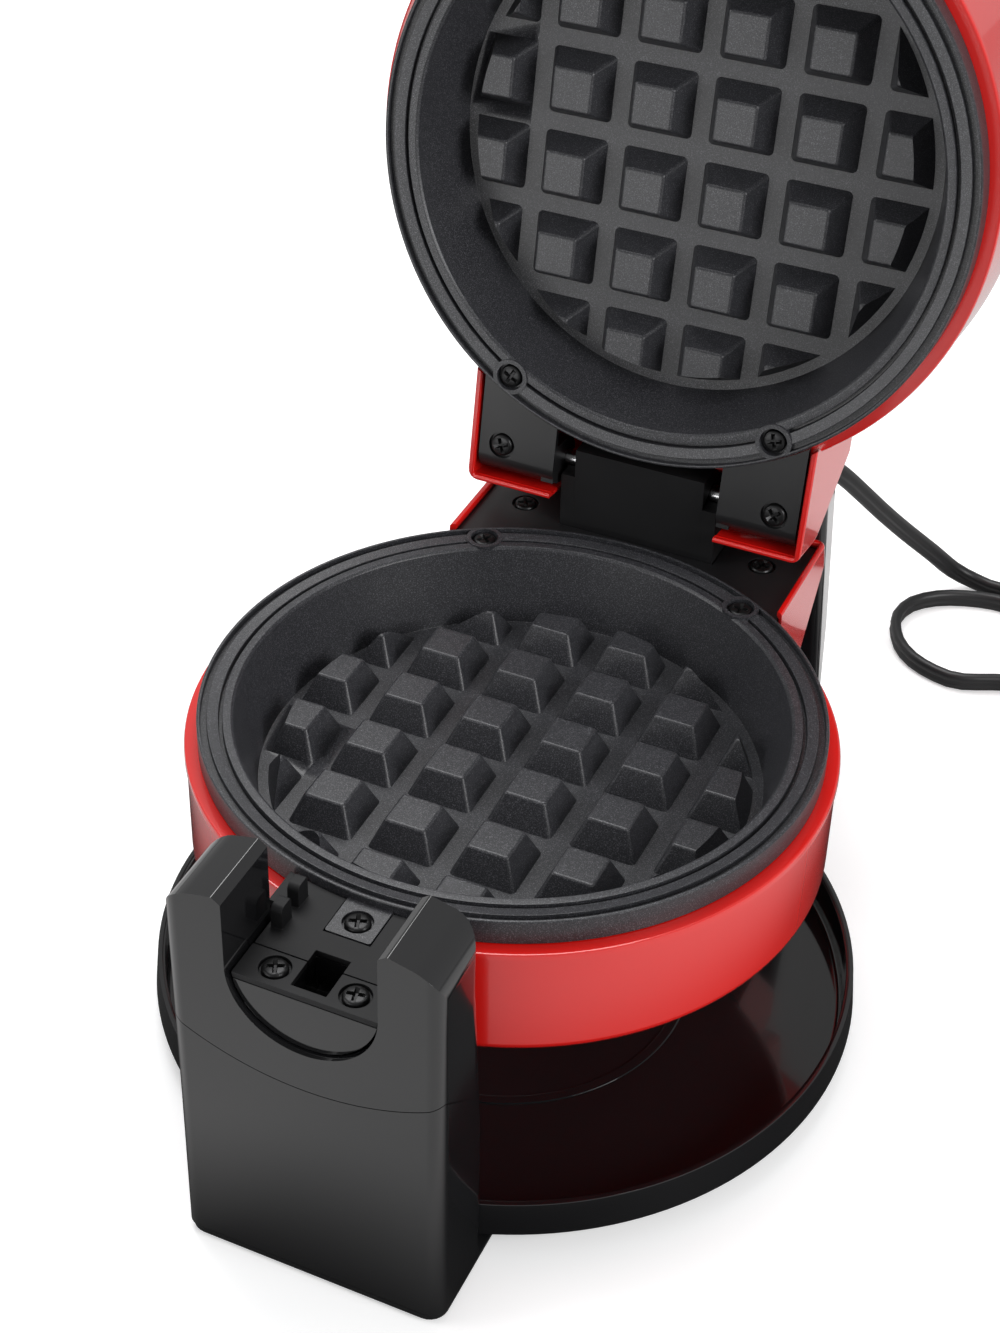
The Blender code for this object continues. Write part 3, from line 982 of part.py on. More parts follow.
def pillar_blank(name):
    """The whole front upright, before the seam parts it: arms, notch and the cut for the dish."""
    heights = (-DISH_BOTTOM_DEPTH, -PILLAR_BACK_DEPTH, 0, ARM_TOP + OVERRUN)
    blank = layered(name, pillar_loops(0, heights), GLOSS)
    half = PILLAR_TOP_HALF_WIDTH + OVERRUN
    edge = PILLAR_TOP_HALF_WIDTH
    low = -DISH_BOTTOM_DEPTH - OVERRUN
    side = [
        (-half, low, 0), (half, low, 0), (half, -ARM_OUTER_ROUND, 0), (edge, 0, 0),
        (edge, ARM_SHOULDER, ARM_OUTER_ROUND / 2), (CRADLE_RADIUS, ARM_TOP, ARM_INNER_ROUND),
        (CRADLE_RADIUS, 0, 0), (-CRADLE_RADIUS, 0, 0), (-CRADLE_RADIUS, ARM_TOP, ARM_INNER_ROUND),
        (-edge, ARM_SHOULDER, ARM_OUTER_ROUND / 2), (-edge, 0, 0), (-half, -ARM_OUTER_ROUND, 0),
    ]
    view = prism(f"{name}_view", rounded(side), PILLAR_FRONT - OVERRUN, PILLAR_BACK + OVERRUN, "Y")
    combine(blank, view, "INTERSECT")
    notch = prism(f"{name}_notch", circle(CRADLE_RADIUS), PILLAR_FRONT - OVERRUN, PILLAR_BACK + OVERRUN, "Y")
    combine(blank, notch)
    dish = prism(f"{name}_dish", circle(DISH_EDGE_RADIUS + GAP), low, -DISH_RIM_DEPTH + GAP, "Z")
    combine(blank, dish)
    return blank


def pillar(screws):
    """The lower pillar moulding and the cradle moulding on top of it."""
    lower = pillar_blank("front_pillar")
    combine(lower, above_seam("seam_lower", -GAP / 2))
    top = -SEAM_DEPTH - SEAM_FALL_SHARE * (PILLAR_BACK - SEAM_LEVEL_Y) - PILLAR_WALL * 2
    heights = (-DISH_BOTTOM_DEPTH - OVERRUN, -PILLAR_BACK_DEPTH - PILLAR_WALL, top)
    loops = pillar_loops(PILLAR_WALL, heights)
    clear = DISH_EDGE_RADIUS + GAP + PILLAR_WALL
    hollow = layered("front_pillar_hollow", loops, None)
    combine(hollow, prism("front_pillar_hollow_dish", circle(clear), heights[0] - OVERRUN,
                          -DISH_RIM_DEPTH + PILLAR_WALL, "Z"))
    combine(lower, hollow)
    for word, x, y in screws[:2]:
        boss = prism(f"front_pillar_boss_{word}", circle(RECESS_RADIUS, (x, y), PIN_STEPS),
                     -DISH_BOTTOM_DEPTH, top + PILLAR_WALL / 2, "Z")
        combine(lower, boss, "UNION")
        bore = circle(SHANK_HOLE_RADIUS, (x, y), HOLE_STEPS)
        combine(lower, prism(f"front_pillar_bore_{word}", bore, -DISH_BOTTOM_DEPTH - OVERRUN,
                             -DISH_BOTTOM_DEPTH + SCREW_LENGTH, "Z"))
    cradle = pillar_blank("front_cradle")
    combine(cradle, above_seam("seam_upper", GAP / 2), "INTERSECT")


def column_loops(shrink, heights):
    """Outlines of the rear column at rising heights: its foot steps forward to the dish."""
    loops = []
    for height in heights:
        share = (height + DISH_BOTTOM_DEPTH) / (COLUMN_TOP + DISH_BOTTOM_DEPTH)
        half = COLUMN_FOOT_HALF_WIDTH + (COLUMN_TOP_HALF_WIDTH - COLUMN_FOOT_HALF_WIDTH) * share - shrink
        step = (height + COLUMN_FOOT_DEPTH) / (COLUMN_FOOT_DEPTH - COLUMN_KNEE_DEPTH)
        step = min(1.0, max(0.0, step))
        front = COLUMN_FOOT_FRONT + (COLUMN_FRONT - COLUMN_FOOT_FRONT) * step + shrink
        back = COLUMN_BACK - shrink
        corners = [(-half, front, COLUMN_FRONT_CORNER), (half, front, COLUMN_FRONT_CORNER),
                   (half - COLUMN_TAPER, back, COLUMN_BACK_CORNER - shrink),
                   (-half + COLUMN_TAPER, back, COLUMN_BACK_CORNER - shrink)]
        loops.append([(x, y, height) for x, y in rounded(corners)])
    return loops


def column(screws):
    """The rear column, the hollow hub that turns in it, bush, retaining ring and the cord's relief."""
    heights = (-DISH_BOTTOM_DEPTH, -COLUMN_FOOT_DEPTH, -COLUMN_KNEE_DEPTH, COLUMN_TOP)
    shell = layered("rear_column", column_loops(0, heights), GLOSS)
    wide = COLUMN_FOOT_HALF_WIDTH + OVERRUN
    low = -DISH_BOTTOM_DEPTH - OVERRUN
    top_half = COLUMN_TOP_HALF_WIDTH
    view = [(-wide, low, 0), (wide, low, 0), (wide, -COLUMN_SHOULDER * 2, 0),
            (top_half + GAP, COLUMN_TOP, COLUMN_SHOULDER), (-top_half - GAP, COLUMN_TOP, COLUMN_SHOULDER),
            (-wide, -COLUMN_SHOULDER * 2, 0)]
    span = (COLUMN_FOOT_FRONT - OVERRUN, COLUMN_BACK + OVERRUN)
    combine(shell, prism("rear_column_view", rounded(view), *span, "Y"), "INTERSECT")
    heights = (low, -COLUMN_FOOT_DEPTH - COLUMN_WALL, -COLUMN_KNEE_DEPTH - COLUMN_WALL, COLUMN_TOP)
    hollow = layered("rear_column_hollow", column_loops(COLUMN_WALL, heights), None)
    top_room = [(-wide, low, 0), (wide, low, 0), (wide, -COLUMN_SHOULDER * 2, 0),
                (top_half - COLUMN_WALL, COLUMN_TOP - COLUMN_WALL, COLUMN_SHOULDER),
                (-top_half + COLUMN_WALL, COLUMN_TOP - COLUMN_WALL, COLUMN_SHOULDER),
                (-wide, -COLUMN_SHOULDER * 2, 0)]
    combine(hollow, prism("rear_column_room", rounded(top_room), *span, "Y"), "INTERSECT")
    dish = DISH_EDGE_RADIUS + GAP
    combine(hollow, prism("rear_column_hollow_dish", circle(dish + COLUMN_WALL), low - OVERRUN, 0, "Z"))
    combine(shell, hollow)
    combine(shell, prism("rear_column_dish", circle(dish), low, 0, "Z"))
    bush_out = REAR_HUB_RADIUS + GAP + BUSH_WALL
    hole = circle(bush_out + GAP, steps=ROUND_STEPS // 2)
    combine(shell, prism("rear_column_bush_hole", hole, COLUMN_FRONT - OVERRUN,
                         COLUMN_FRONT + COLUMN_WALL + OVERRUN, "Y"))
    relief = circle(RELIEF_RADIUS + GAP, (RELIEF_X, RELIEF_Z), PIN_STEPS)
    combine(shell, prism("rear_column_relief_hole", relief, COLUMN_BACK - COLUMN_WALL - OVERRUN,
                         COLUMN_BACK + OVERRUN, "Y"))
    for word, x, y in screws[2:]:
        heights = (-DISH_BOTTOM_DEPTH, -REAR_HUB_RADIUS - COLUMN_SHOULDER)
        boss = prism(f"rear_column_boss_{word}", circle(RECESS_RADIUS, (x, y), PIN_STEPS), *heights, "Z")
        web = box(f"rear_column_web_{word}", (x - BOSS_WEB_HALF_WIDTH, x + BOSS_WEB_HALF_WIDTH),
                  (y, COLUMN_BACK - COLUMN_WALL / 2), heights)
        combine(boss, web, "UNION")
        combine(shell, boss, "UNION")
        bore = circle(SHANK_HOLE_RADIUS, (x, y), HOLE_STEPS)
        combine(shell, prism(f"rear_column_bore_{word}", bore, low, -DISH_BOTTOM_DEPTH + SCREW_LENGTH, "Z"))
    lathe("rear_hub", [(REAR_HUB_BORE, BLOCK_BACK + GAP), (REAR_HUB_RADIUS, BLOCK_BACK + GAP),
                       (REAR_HUB_RADIUS, REAR_HUB_END), (REAR_HUB_BORE, REAR_HUB_END)], STEEL)
    bush_in = REAR_HUB_RADIUS + GAP
    bush_end = COLUMN_FRONT + BUSH_LENGTH
    lathe("rear_bush", [(bush_in, COLUMN_FRONT), (bush_out, COLUMN_FRONT),
                        (bush_out, COLUMN_FRONT + COLUMN_WALL + GAP),
                        (bush_out + BUSH_FLANGE, COLUMN_FRONT + COLUMN_WALL + GAP),
                        (bush_out + BUSH_FLANGE, bush_end + GAP), (bush_in, bush_end + GAP)], RUBBER)
    ring = bush_end + 2 * GAP
    lathe("hub_retainer", [(bush_in, ring), (bush_in + RETAINER_WIDTH, ring),
                           (bush_in + RETAINER_WIDTH, ring + RETAINER_THICKNESS),
                           (bush_in, ring + RETAINER_THICKNESS)], STEEL)
    inside = COLUMN_BACK - COLUMN_WALL - GAP
    profile = [(0, inside - RELIEF_COLLAR), (RELIEF_RADIUS + RELIEF_COLLAR, inside - RELIEF_COLLAR),
               (RELIEF_RADIUS + RELIEF_COLLAR, inside), (RELIEF_RADIUS, inside), (RELIEF_RADIUS, COLUMN_BACK),
               (RELIEF_TIP_RADIUS, COLUMN_BACK + RELIEF_LENGTH), (0, COLUMN_BACK + RELIEF_LENGTH)]
    lathe("cord_strain_relief", profile, RUBBER, (RELIEF_X, RELIEF_Z), PIN_STEPS)


def lathe(name, profile, paint, centre=(0, 0), steps=ROUND_STEPS // 2):
    """Turn a profile of radius and Y about a level axis that runs front to back."""
    piece = turned(name, profile, paint, steps=steps)
    for vertex in piece.data.vertices:
        x, z, y = vertex.co
        vertex.co = (centre[0] + x, y, centre[1] + z)
    piece.data.flip_normals()
    return piece


def smooth_route(route, spacing):
    """Points at even steps along a smooth curve through a route's own points."""
    knots = [Vector(point) for point in route]
    padded = [2 * knots[0] - knots[1]] + knots + [2 * knots[-1] - knots[-2]]
    fine = []
    for i in range(1, len(padded) - 2):
        a, b, c, d = padded[i - 1:i + 3]
        for step in range(SMOOTH_STEPS):
            t = step / SMOOTH_STEPS
            fine.append(0.5 * (2 * b + (c - a) * t + (2 * a - 5 * b + 4 * c - d) * t * t
                               + (3 * b - a - 3 * c + d) * t ** 3))
    fine.append(knots[-1])
    reach = [0.0]
    for a, b in zip(fine, fine[1:]):
        reach.append(reach[-1] + (b - a).length)
    count = max(2, round(reach[-1] / spacing))
    marks = np.linspace(0, reach[-1], count + 1)
    columns = [np.interp(marks, reach, [point[k] for point in fine]) for k in range(3)]
    return [Vector(point) for point in zip(*columns)]


def coil_points():
    """Two piled layers of loops: in on the table, up a layer in a half turn, and out on top."""
    low = TABLE + CORD_REST
    turns = COIL_LAYER_TURNS + COIL_CLIMB_TURNS + COIL_TOP_TURNS
    reverse = COIL_LAYER_TURNS + COIL_CLIMB_TURNS / 2
    count = round(turns * COIL_TURN_POINTS)
    points = [Vector((COIL_X - CORD_DIAMETER, COIL_Y + COIL_RADIUS, low))]
    for i in range(count + 1):
        turn = turns * i / count
        radius = COIL_RADIUS - COIL_PITCH * (reverse - abs(turn - reverse))
        climb = min(1.0, max(0.0, (turn - COIL_LAYER_TURNS) / COIL_CLIMB_TURNS))
        angle = math.pi / 2 - math.tau * turn
        points.append(Vector((COIL_X + radius * math.cos(angle), COIL_Y + radius * math.sin(angle),
                              low + COIL_PITCH * climb)))
    run = (points[-1] - points[-2]).normalized()
    points.append(points[-1] + run * CORD_DIAMETER)
    apart = COIL_TURN_POINTS // 2
    nearest = min((a - b).length for i, a in enumerate(points) for b in points[i + apart:])
    print("coil: least gap to itself", round((nearest - CORD_DIAMETER) * 1000, 2), "mm")
    return points


def cord():
    """The cord from the strain relief to the plug: free run, put-away coil and tail."""
    start = Vector((RELIEF_X, COLUMN_BACK + RELIEF_LENGTH + GAP, RELIEF_Z))
    coil = coil_points()
    enter = coil[0] - (coil[1] - coil[0]).normalized() * GAP
    laid = [(x, COLUMN_BACK + y, TABLE + height) for x, y, height in CORD_ROUTE]
    route = [start + Vector((0, CORD_DIAMETER, 0)), *laid, enter - Vector((CORD_DIAMETER, 0, 0))]
    run = [start] + smooth_route(route, CORD_SPACING) + [enter]
    tube("cord_run", run, CORD_DIAMETER / 2, RUBBER)
    tube("cord_coil", coil, CORD_DIAMETER / 2, RUBBER, resolution=1)
    run = (coil[-1] - coil[-2]).normalized()
    leave = coil[-1] + run * GAP
    low = TABLE + CORD_REST
    end = Vector((TAIL_END_X, TAIL_END_Y, low))
    laid = [(COIL_X + x, COIL_Y + y, TABLE + height) for x, y, height in TAIL_ROUTE]
    route = [leave + run * CORD_DIAMETER, *laid, end + Vector((0, CORD_DIAMETER, 0))]
    tail = [leave] + smooth_route(route, CORD_SPACING) + [end]
    tube("cord_tail", tail, CORD_DIAMETER / 2, RUBBER)
    back = TAIL_END_Y - GAP
    loops = []
    for share, half in ((0, PLUG_NOSE_HALF_WIDTH), (PLUG_NECK_SHARE, PLUG_NECK_HALF_WIDTH),
                        (PLUG_BODY_SHARE, PLUG_HALF_WIDTH), (1, PLUG_HALF_WIDTH)):
        height = PLUG_HALF_HEIGHT
        corners = [(-half, -height, height / 2), (half, -height, height / 2), (half, height, height / 2),
                   (-half, height, height / 2)]
        loops.append([(TAIL_END_X + x, back - share * PLUG_LENGTH, low + z) for x, z in rounded(corners)])
    layered("plug_body", loops, RUBBER)
    face = back - PLUG_LENGTH - GAP
    for side, word in ((-1, "left"), (1, "right")):
        x = TAIL_END_X + side * BLADE_SPACING / 2
        box(f"plug_blade_{word}", (x - BLADE_THICKNESS / 2, x + BLADE_THICKNESS / 2),
            (face - BLADE_LENGTH, face), (low - BLADE_HALF_HEIGHT, low + BLADE_HALF_HEIGHT), STEEL)


def build():
    """Make every piece."""
    low_box = [(BOX_START, 0), (LOWER_BOX_BACK, 0), (LOWER_BOX_BACK + LOWER_BOX_BULGE, LOWER_BOX_BULGE_DEPTH),
               (LOWER_BOX_FOOT, LOWER_BOX_FOOT_DEPTH), (DRUM_RADIUS, DRUM_DEPTH), (BOX_START, DRUM_DEPTH)]
    lid_box = [(BOX_START, LID_BOX_LIP), (LID_BOX_BACK, LID_BOX_LIP), (LID_BOX_BACK, LID_BOX_BEND),
               (DRUM_RADIUS, DRUM_DEPTH), (BOX_START, DRUM_DEPTH)]
    lower = housing(LOWER, low_box)
    hub_clear = circle(REAR_HUB_RADIUS + GAP, steps=ROUND_STEPS // 2)
    combine(lower, prism("hub_passage", hub_clear, BLOCK_FRONT, COLUMN_FRONT, "Y"))
    upper = housing(UPPER, lid_box)
    combine(upper, box("lid_notch", (-LID_SLOT_HALF_WIDTH, LID_SLOT_HALF_WIDTH),
                       (DRUM_RADIUS - LID_SLOT_CLEARANCE, LID_BOX_BACK + OVERRUN), (0, LID_SLOT_TOP), None, LID))
    for half in (LOWER, UPPER):
        grid_plate(half)
        heating(half)
    controls()
    hinge()
    rear_cover()
    neck()
    lid_front()
    screws = base()
    pillar(screws)
    column(screws)
    cord()


build()
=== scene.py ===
"""Looks of a rotary waffle maker standing open: lid up, round grid plates, red drums between a front
cradle and a rear column, on a round dish. Metres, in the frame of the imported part."""
import json
import math

import bmesh
import bpy
from mathutils import Matrix, Vector


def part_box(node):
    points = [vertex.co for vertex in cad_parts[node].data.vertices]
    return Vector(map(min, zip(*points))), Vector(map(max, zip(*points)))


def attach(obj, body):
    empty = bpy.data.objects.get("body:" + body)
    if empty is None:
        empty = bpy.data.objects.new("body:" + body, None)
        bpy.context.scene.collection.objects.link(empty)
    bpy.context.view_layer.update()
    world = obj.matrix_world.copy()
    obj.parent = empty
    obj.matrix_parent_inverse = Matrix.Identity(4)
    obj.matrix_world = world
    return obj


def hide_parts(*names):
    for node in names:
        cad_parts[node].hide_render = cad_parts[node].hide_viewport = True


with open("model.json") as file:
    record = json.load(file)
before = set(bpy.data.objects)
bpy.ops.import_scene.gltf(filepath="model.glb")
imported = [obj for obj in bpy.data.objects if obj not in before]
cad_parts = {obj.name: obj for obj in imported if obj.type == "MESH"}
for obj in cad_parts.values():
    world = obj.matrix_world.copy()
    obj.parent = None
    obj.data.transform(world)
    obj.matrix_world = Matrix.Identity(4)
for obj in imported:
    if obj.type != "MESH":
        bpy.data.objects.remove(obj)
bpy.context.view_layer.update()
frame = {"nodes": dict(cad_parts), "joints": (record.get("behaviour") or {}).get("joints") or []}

# Camera: a long portrait lens in front of the handle side, a little to its right and above the open
# plate. The optical axis passes left of the picture's middle, as in a cropped studio photograph.
CAMERA_PLACE = Vector((0.2377, -0.5778, 0.6034))
CAMERA_AZIMUTH = math.radians(25.42)
CAMERA_ELEVATION = math.radians(37.64)
CAMERA_ROLL = math.radians(0.35)
PHOTO_WIDTH_PX = 1000
PHOTO_HEIGHT_PX = 1333
FOCAL_PX = 2443.8
AXIS_X_PX = 431.7
AXIS_Y_PX = 672.1
SENSOR_MM = 36
toward_camera = Vector((math.sin(CAMERA_AZIMUTH) * math.cos(CAMERA_ELEVATION),
               -math.cos(CAMERA_AZIMUTH) * math.cos(CAMERA_ELEVATION), math.sin(CAMERA_ELEVATION)))
level = Vector((math.cos(CAMERA_AZIMUTH), math.sin(CAMERA_AZIMUTH), 0))
upright = toward_camera.cross(level)
right = level * math.cos(CAMERA_ROLL) + upright * math.sin(CAMERA_ROLL)
camera_data = bpy.data.cameras.new("photo_camera")
camera_data.sensor_width = SENSOR_MM
camera_data.lens = FOCAL_PX * SENSOR_MM / PHOTO_HEIGHT_PX
camera_data.shift_x = (PHOTO_WIDTH_PX / 2 - AXIS_X_PX) / PHOTO_HEIGHT_PX
camera_data.shift_y = (AXIS_Y_PX - PHOTO_HEIGHT_PX / 2) / PHOTO_HEIGHT_PX
camera = bpy.data.objects.new("photo_camera", camera_data)
camera.matrix_world = Matrix((right, toward_camera.cross(right), toward_camera)).transposed().to_4x4()
camera.location = CAMERA_PLACE
bpy.context.scene.collection.objects.link(camera)
bpy.context.scene.camera = camera

# Studio: a pale table top that runs out of the picture, an even white surround, one wide soft box
# above and two standing ones, so that the gloss mouldings pick up long soft edges. To all but camera rays the
# table is dimmer than it looks, and close round the dish near black: painted shade for the dish's contact shadow.
FLOOR_SIZE = 8.0
FLOOR_COLOUR = (0.90, 0.90, 0.905, 1)
FLOOR_BOUNCE = (0.55, 0.55, 0.55, 1)
PAINTED_SHADE_COLOUR = (0.02, 0.02, 0.02, 1)
FLOOR_GLOW = 0.35
PAINTED_SHADE_RADIUS = 0.150
PAINTED_SHADE_FADE = 0.070
SURROUND_STRENGTH = 0.42
bpy.ops.object.select_all(action="DESELECT")
bpy.ops.mesh.primitive_plane_add(size=FLOOR_SIZE, location=(0, 0, 0))
floor = bpy.context.object
floor.name = "table_top"
paper = bpy.data.materials.new("white_table")
paper.use_nodes = True
tree = paper.node_tree
paper_shader = tree.nodes["Principled BSDF"]
paper_shader.inputs["Roughness"].default_value = 0.6
paper_shader.inputs["Specular IOR Level"].default_value = 0.2
paper_shader.inputs["Emission Color"].default_value = (1, 1, 1, 1)
rays = tree.nodes.new("ShaderNodeLightPath")
spot = tree.nodes.new("ShaderNodeTexCoord")
distance = tree.nodes.new("ShaderNodeVectorMath")
distance.operation = "LENGTH"
fade = tree.nodes.new("ShaderNodeMapRange")
fade.interpolation_type = "SMOOTHSTEP"
fade.inputs["From Min"].default_value = PAINTED_SHADE_RADIUS
fade.inputs["From Max"].default_value = PAINTED_SHADE_RADIUS + PAINTED_SHADE_FADE
# Painted shade: the table's colour in reflections goes near black within a radius of the middle and fades out to the
# bounce colour.
painted_shade = tree.nodes.new("ShaderNodeMix")
painted_shade.data_type = "RGBA"
painted_shade.inputs["A"].default_value = PAINTED_SHADE_COLOUR
painted_shade.inputs["B"].default_value = FLOOR_BOUNCE
seen = tree.nodes.new("ShaderNodeMix")
seen.data_type = "RGBA"
seen.inputs["B"].default_value = FLOOR_COLOUR
glow = tree.nodes.new("ShaderNodeMath")
glow.operation = "MULTIPLY"
glow.inputs[1].default_value = FLOOR_GLOW
tree.links.new(spot.outputs["Object"], distance.inputs[0])
tree.links.new(distance.outputs["Value"], fade.inputs["Value"])
tree.links.new(fade.outputs["Result"], painted_shade.inputs["Factor"])
tree.links.new(rays.outputs["Is Camera Ray"], seen.inputs["Factor"])
tree.links.new(painted_shade.outputs["Result"], seen.inputs["A"])
tree.links.new(seen.outputs["Result"], paper_shader.inputs["Base Color"])
tree.links.new(rays.outputs["Is Camera Ray"], glow.inputs[0])
tree.links.new(glow.outputs[0], paper_shader.inputs["Emission Strength"])
floor.data.materials.append(paper)
world = bpy.data.worlds.new("white_surround")
bpy.context.scene.world = world
world.use_nodes = True
world.node_tree.nodes["Background"].inputs["Color"].default_value = (1, 1, 1, 1)
world.node_tree.nodes["Background"].inputs["Strength"].default_value = SURROUND_STRENGTH
bpy.context.scene.view_settings.view_transform = "Standard"
for name, place, size, power in (
    ("soft_box_above", (-0.35, 0.45, 1.45), 0.90, 15),
    ("soft_box_left", (-1.20, -0.70, 0.90), 0.80, 6),
    ("soft_box_right", (1.15, -0.35, 0.70), 0.60, 10),
    ("card_in_front", (-0.30, -0.75, 0.04), 0.50, 2.8),
):
    light_data = bpy.data.lights.new(name, "AREA")
    light_data.shape = "SQUARE"
    light_data.size = size
    light_data.energy = power
    light = bpy.data.objects.new(name, light_data)
    light.location = place
    light.rotation_euler = (Vector((0, 0, 0.12)) - Vector(place)).to_track_quat("-Z", "Y").to_euler()
    light.visible_diffuse = name != "card_in_front"
    bpy.context.scene.collection.objects.link(light)

# Base dish: one round gloss black moulding with a thin upright wall, a fine double edge on its rim and a
# low raised ring on its floor. It sits on the bottom plate and takes drips under the cooking unit.
dish_low, dish_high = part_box("base_dish")
PARTING_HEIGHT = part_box("lower_housing")[1].z
MIDDLE = Vector((0, (dish_low.y + dish_high.y) / 2, PARTING_HEIGHT))
DISH_EDGE_RADIUS = (dish_high.x - dish_low.x) / 2
DISH_BOTTOM = dish_low.z
DISH_TOP = dish_high.z
DISH_FLOOR = DISH_BOTTOM + 0.0025
DISH_FOOT_RADIUS = DISH_EDGE_RADIUS - 0.0095
DISH_FLARE = 0.0012
DISH_WALL = 0.0024
DISH_EDGE_RISE = 0.0050
RIM_STEP = 0.0006
RIM_STEP_WIDTH = 0.0008
FLOOR_CORNER = 0.0022
RING_RADIUS = 0.0622
RING_HALF_WIDTH = 0.0016
RING_HEIGHT = 0.0007
FINE_SIDES = 160
SOFT_ANGLE = math.radians(30)
GLOSS_BLACK = (0.010, 0.010, 0.011, 1)


def build_group(name, inputs, outputs):
    """An empty shader group with named sockets, and its two end nodes."""
    group = bpy.data.node_groups.new(name, "ShaderNodeTree")
    for title, kind in inputs:
        group.interface.new_socket(name=title, in_out="INPUT", socket_type=kind)
    for title, kind in outputs:
        group.interface.new_socket(name=title, in_out="OUTPUT", socket_type=kind)
    return group, group.nodes.new("NodeGroupInput"), group.nodes.new("NodeGroupOutput")


surface, given, made = build_group(
    "surface_variation",
    (("Colour", "NodeSocketColor"), ("Shade change", "NodeSocketFloat"), ("Roughness", "NodeSocketFloat"),
     ("Roughness change", "NodeSocketFloat"), ("Patch scale", "NodeSocketFloat"),
     ("Grain scale", "NodeSocketFloat")),
    (("Colour", "NodeSocketColor"), ("Roughness", "NodeSocketFloat"), ("Height", "NodeSocketFloat")))
place = surface.nodes.new("ShaderNodeTexCoord")
patches = surface.nodes.new("ShaderNodeTexNoise")
patches.inputs["Detail"].default_value = 3
grain = surface.nodes.new("ShaderNodeTexNoise")
grain.inputs["Detail"].default_value = 2
tint = surface.nodes.new("ShaderNodeMix")
tint.data_type = "RGBA"
tint.blend_type = "MULTIPLY"
spread = surface.nodes.new("ShaderNodeMath")
spread.operation = "SUBTRACT"
spread.inputs[1].default_value = 0.5
polish = surface.nodes.new("ShaderNodeMath")
polish.operation = "MULTIPLY_ADD"
surface.links.new(place.outputs["Object"], patches.inputs["Vector"])
surface.links.new(place.outputs["Object"], grain.inputs["Vector"])
surface.links.new(given.outputs["Patch scale"], patches.inputs["Scale"])
surface.links.new(given.outputs["Grain scale"], grain.inputs["Scale"])
surface.links.new(given.outputs["Shade change"], tint.inputs["Factor"])
surface.links.new(given.outputs["Colour"], tint.inputs["A"])
surface.links.new(patches.outputs["Fac"], tint.inputs["B"])
surface.links.new(patches.outputs["Fac"], spread.inputs[0])
surface.links.new(spread.outputs[0], polish.inputs[0])
surface.links.new(given.outputs["Roughness change"], polish.inputs[1])
surface.links.new(given.outputs["Roughness"], polish.inputs[2])
surface.links.new(tint.outputs["Result"], made.inputs["Colour"])
surface.links.new(polish.outputs[0], made.inputs["Roughness"])
surface.links.new(grain.outputs["Fac"], made.inputs["Height"])


def finish(name, colour, roughness, patch_scale, grain_scale, grain_depth,
           shade_change=0.3, roughness_change=0.1, metallic=0.0, coat=0.0):
    """A material whose colour, gloss and fine grain vary over the piece."""
    material = bpy.data.materials.new(name)
    material.use_nodes = True
    tree = material.node_tree
    shader = tree.nodes["Principled BSDF"]
    shader.inputs["Metallic"].default_value = metallic
    shader.inputs["Coat Weight"].default_value = coat
    shader.inputs["Coat Roughness"].default_value = 0.04
    varied = tree.nodes.new("ShaderNodeGroup")
    varied.node_tree = surface
    for title, value in (("Colour", colour), ("Shade change", shade_change), ("Roughness", roughness),
                         ("Roughness change", roughness_change), ("Patch scale", patch_scale),
                         ("Grain scale", grain_scale)):
        varied.inputs[title].default_value = value
    bump = tree.nodes.new("ShaderNodeBump")
    bump.inputs["Strength"].default_value = 1
    bump.inputs["Distance"].default_value = grain_depth
    tree.links.new(varied.outputs["Colour"], shader.inputs["Base Color"])
    tree.links.new(varied.outputs["Roughness"], shader.inputs["Roughness"])
    tree.links.new(varied.outputs["Height"], bump.inputs["Height"])
    tree.links.new(bump.outputs["Normal"], shader.inputs["Normal"])
    return material


def turn_up(name, profile, sides=FINE_SIDES):
    """Raise a round piece about the middle: extrude a ring, lift it and scale it to each next radius."""
    bpy.ops.object.select_all(action="DESELECT")
    bpy.ops.mesh.primitive_circle_add(vertices=sides, radius=profile[0][0], location=(0, 0, 0))
    piece = bpy.context.object
    piece.name = name
    bpy.ops.object.mode_set(mode="EDIT")
    bpy.ops.mesh.select_all(action="SELECT")
    bpy.ops.transform.translate(value=(0, 0, profile[0][1]))
    for (radius, height), (following, rise) in zip(profile, profile[1:]):
        bpy.ops.mesh.extrude_edges_move(TRANSFORM_OT_translate={"value": (0, 0, rise - height)})
        grow = following / radius
        bpy.ops.transform.resize(value=(grow, grow, 1), center_override=(0, 0, 0))
    if profile[0] != profile[-1]:
        bpy.ops.mesh.edge_face_add()
        bpy.ops.mesh.select_all(action="DESELECT")
        bpy.ops.object.mode_set(mode="OBJECT")
        for vertex in piece.data.vertices:
            vertex.select = vertex.index < sides
        bpy.ops.object.mode_set(mode="EDIT")
        bpy.ops.mesh.edge_face_add()
    bpy.ops.mesh.select_all(action="SELECT")
    bpy.ops.mesh.remove_doubles(threshold=0.000001)
    bpy.ops.mesh.normals_make_consistent(inside=False)
    bpy.ops.object.mode_set(mode="OBJECT")
    return piece


def apply_step(piece, step):
    """Apply one modifier of one piece."""
    bpy.ops.object.select_all(action="DESELECT")
    piece.select_set(True)
    bpy.context.view_layer.objects.active = piece
    bpy.ops.object.modifier_apply(modifier=step.name)


def soften(piece, width, segments=2, angle=SOFT_ANGLE):
    """Round a piece's sharp edges, as a mould or a press leaves them, and shade its curves smooth."""
    step = piece.modifiers.new("edge_round", "BEVEL")
    step.width = width
    step.segments = segments
    step.limit_method = "ANGLE"
    step.angle_limit = angle
    step.harden_normals = False
    apply_step(piece, step)
    bpy.ops.object.shade_smooth_by_angle(angle=SOFT_ANGLE)


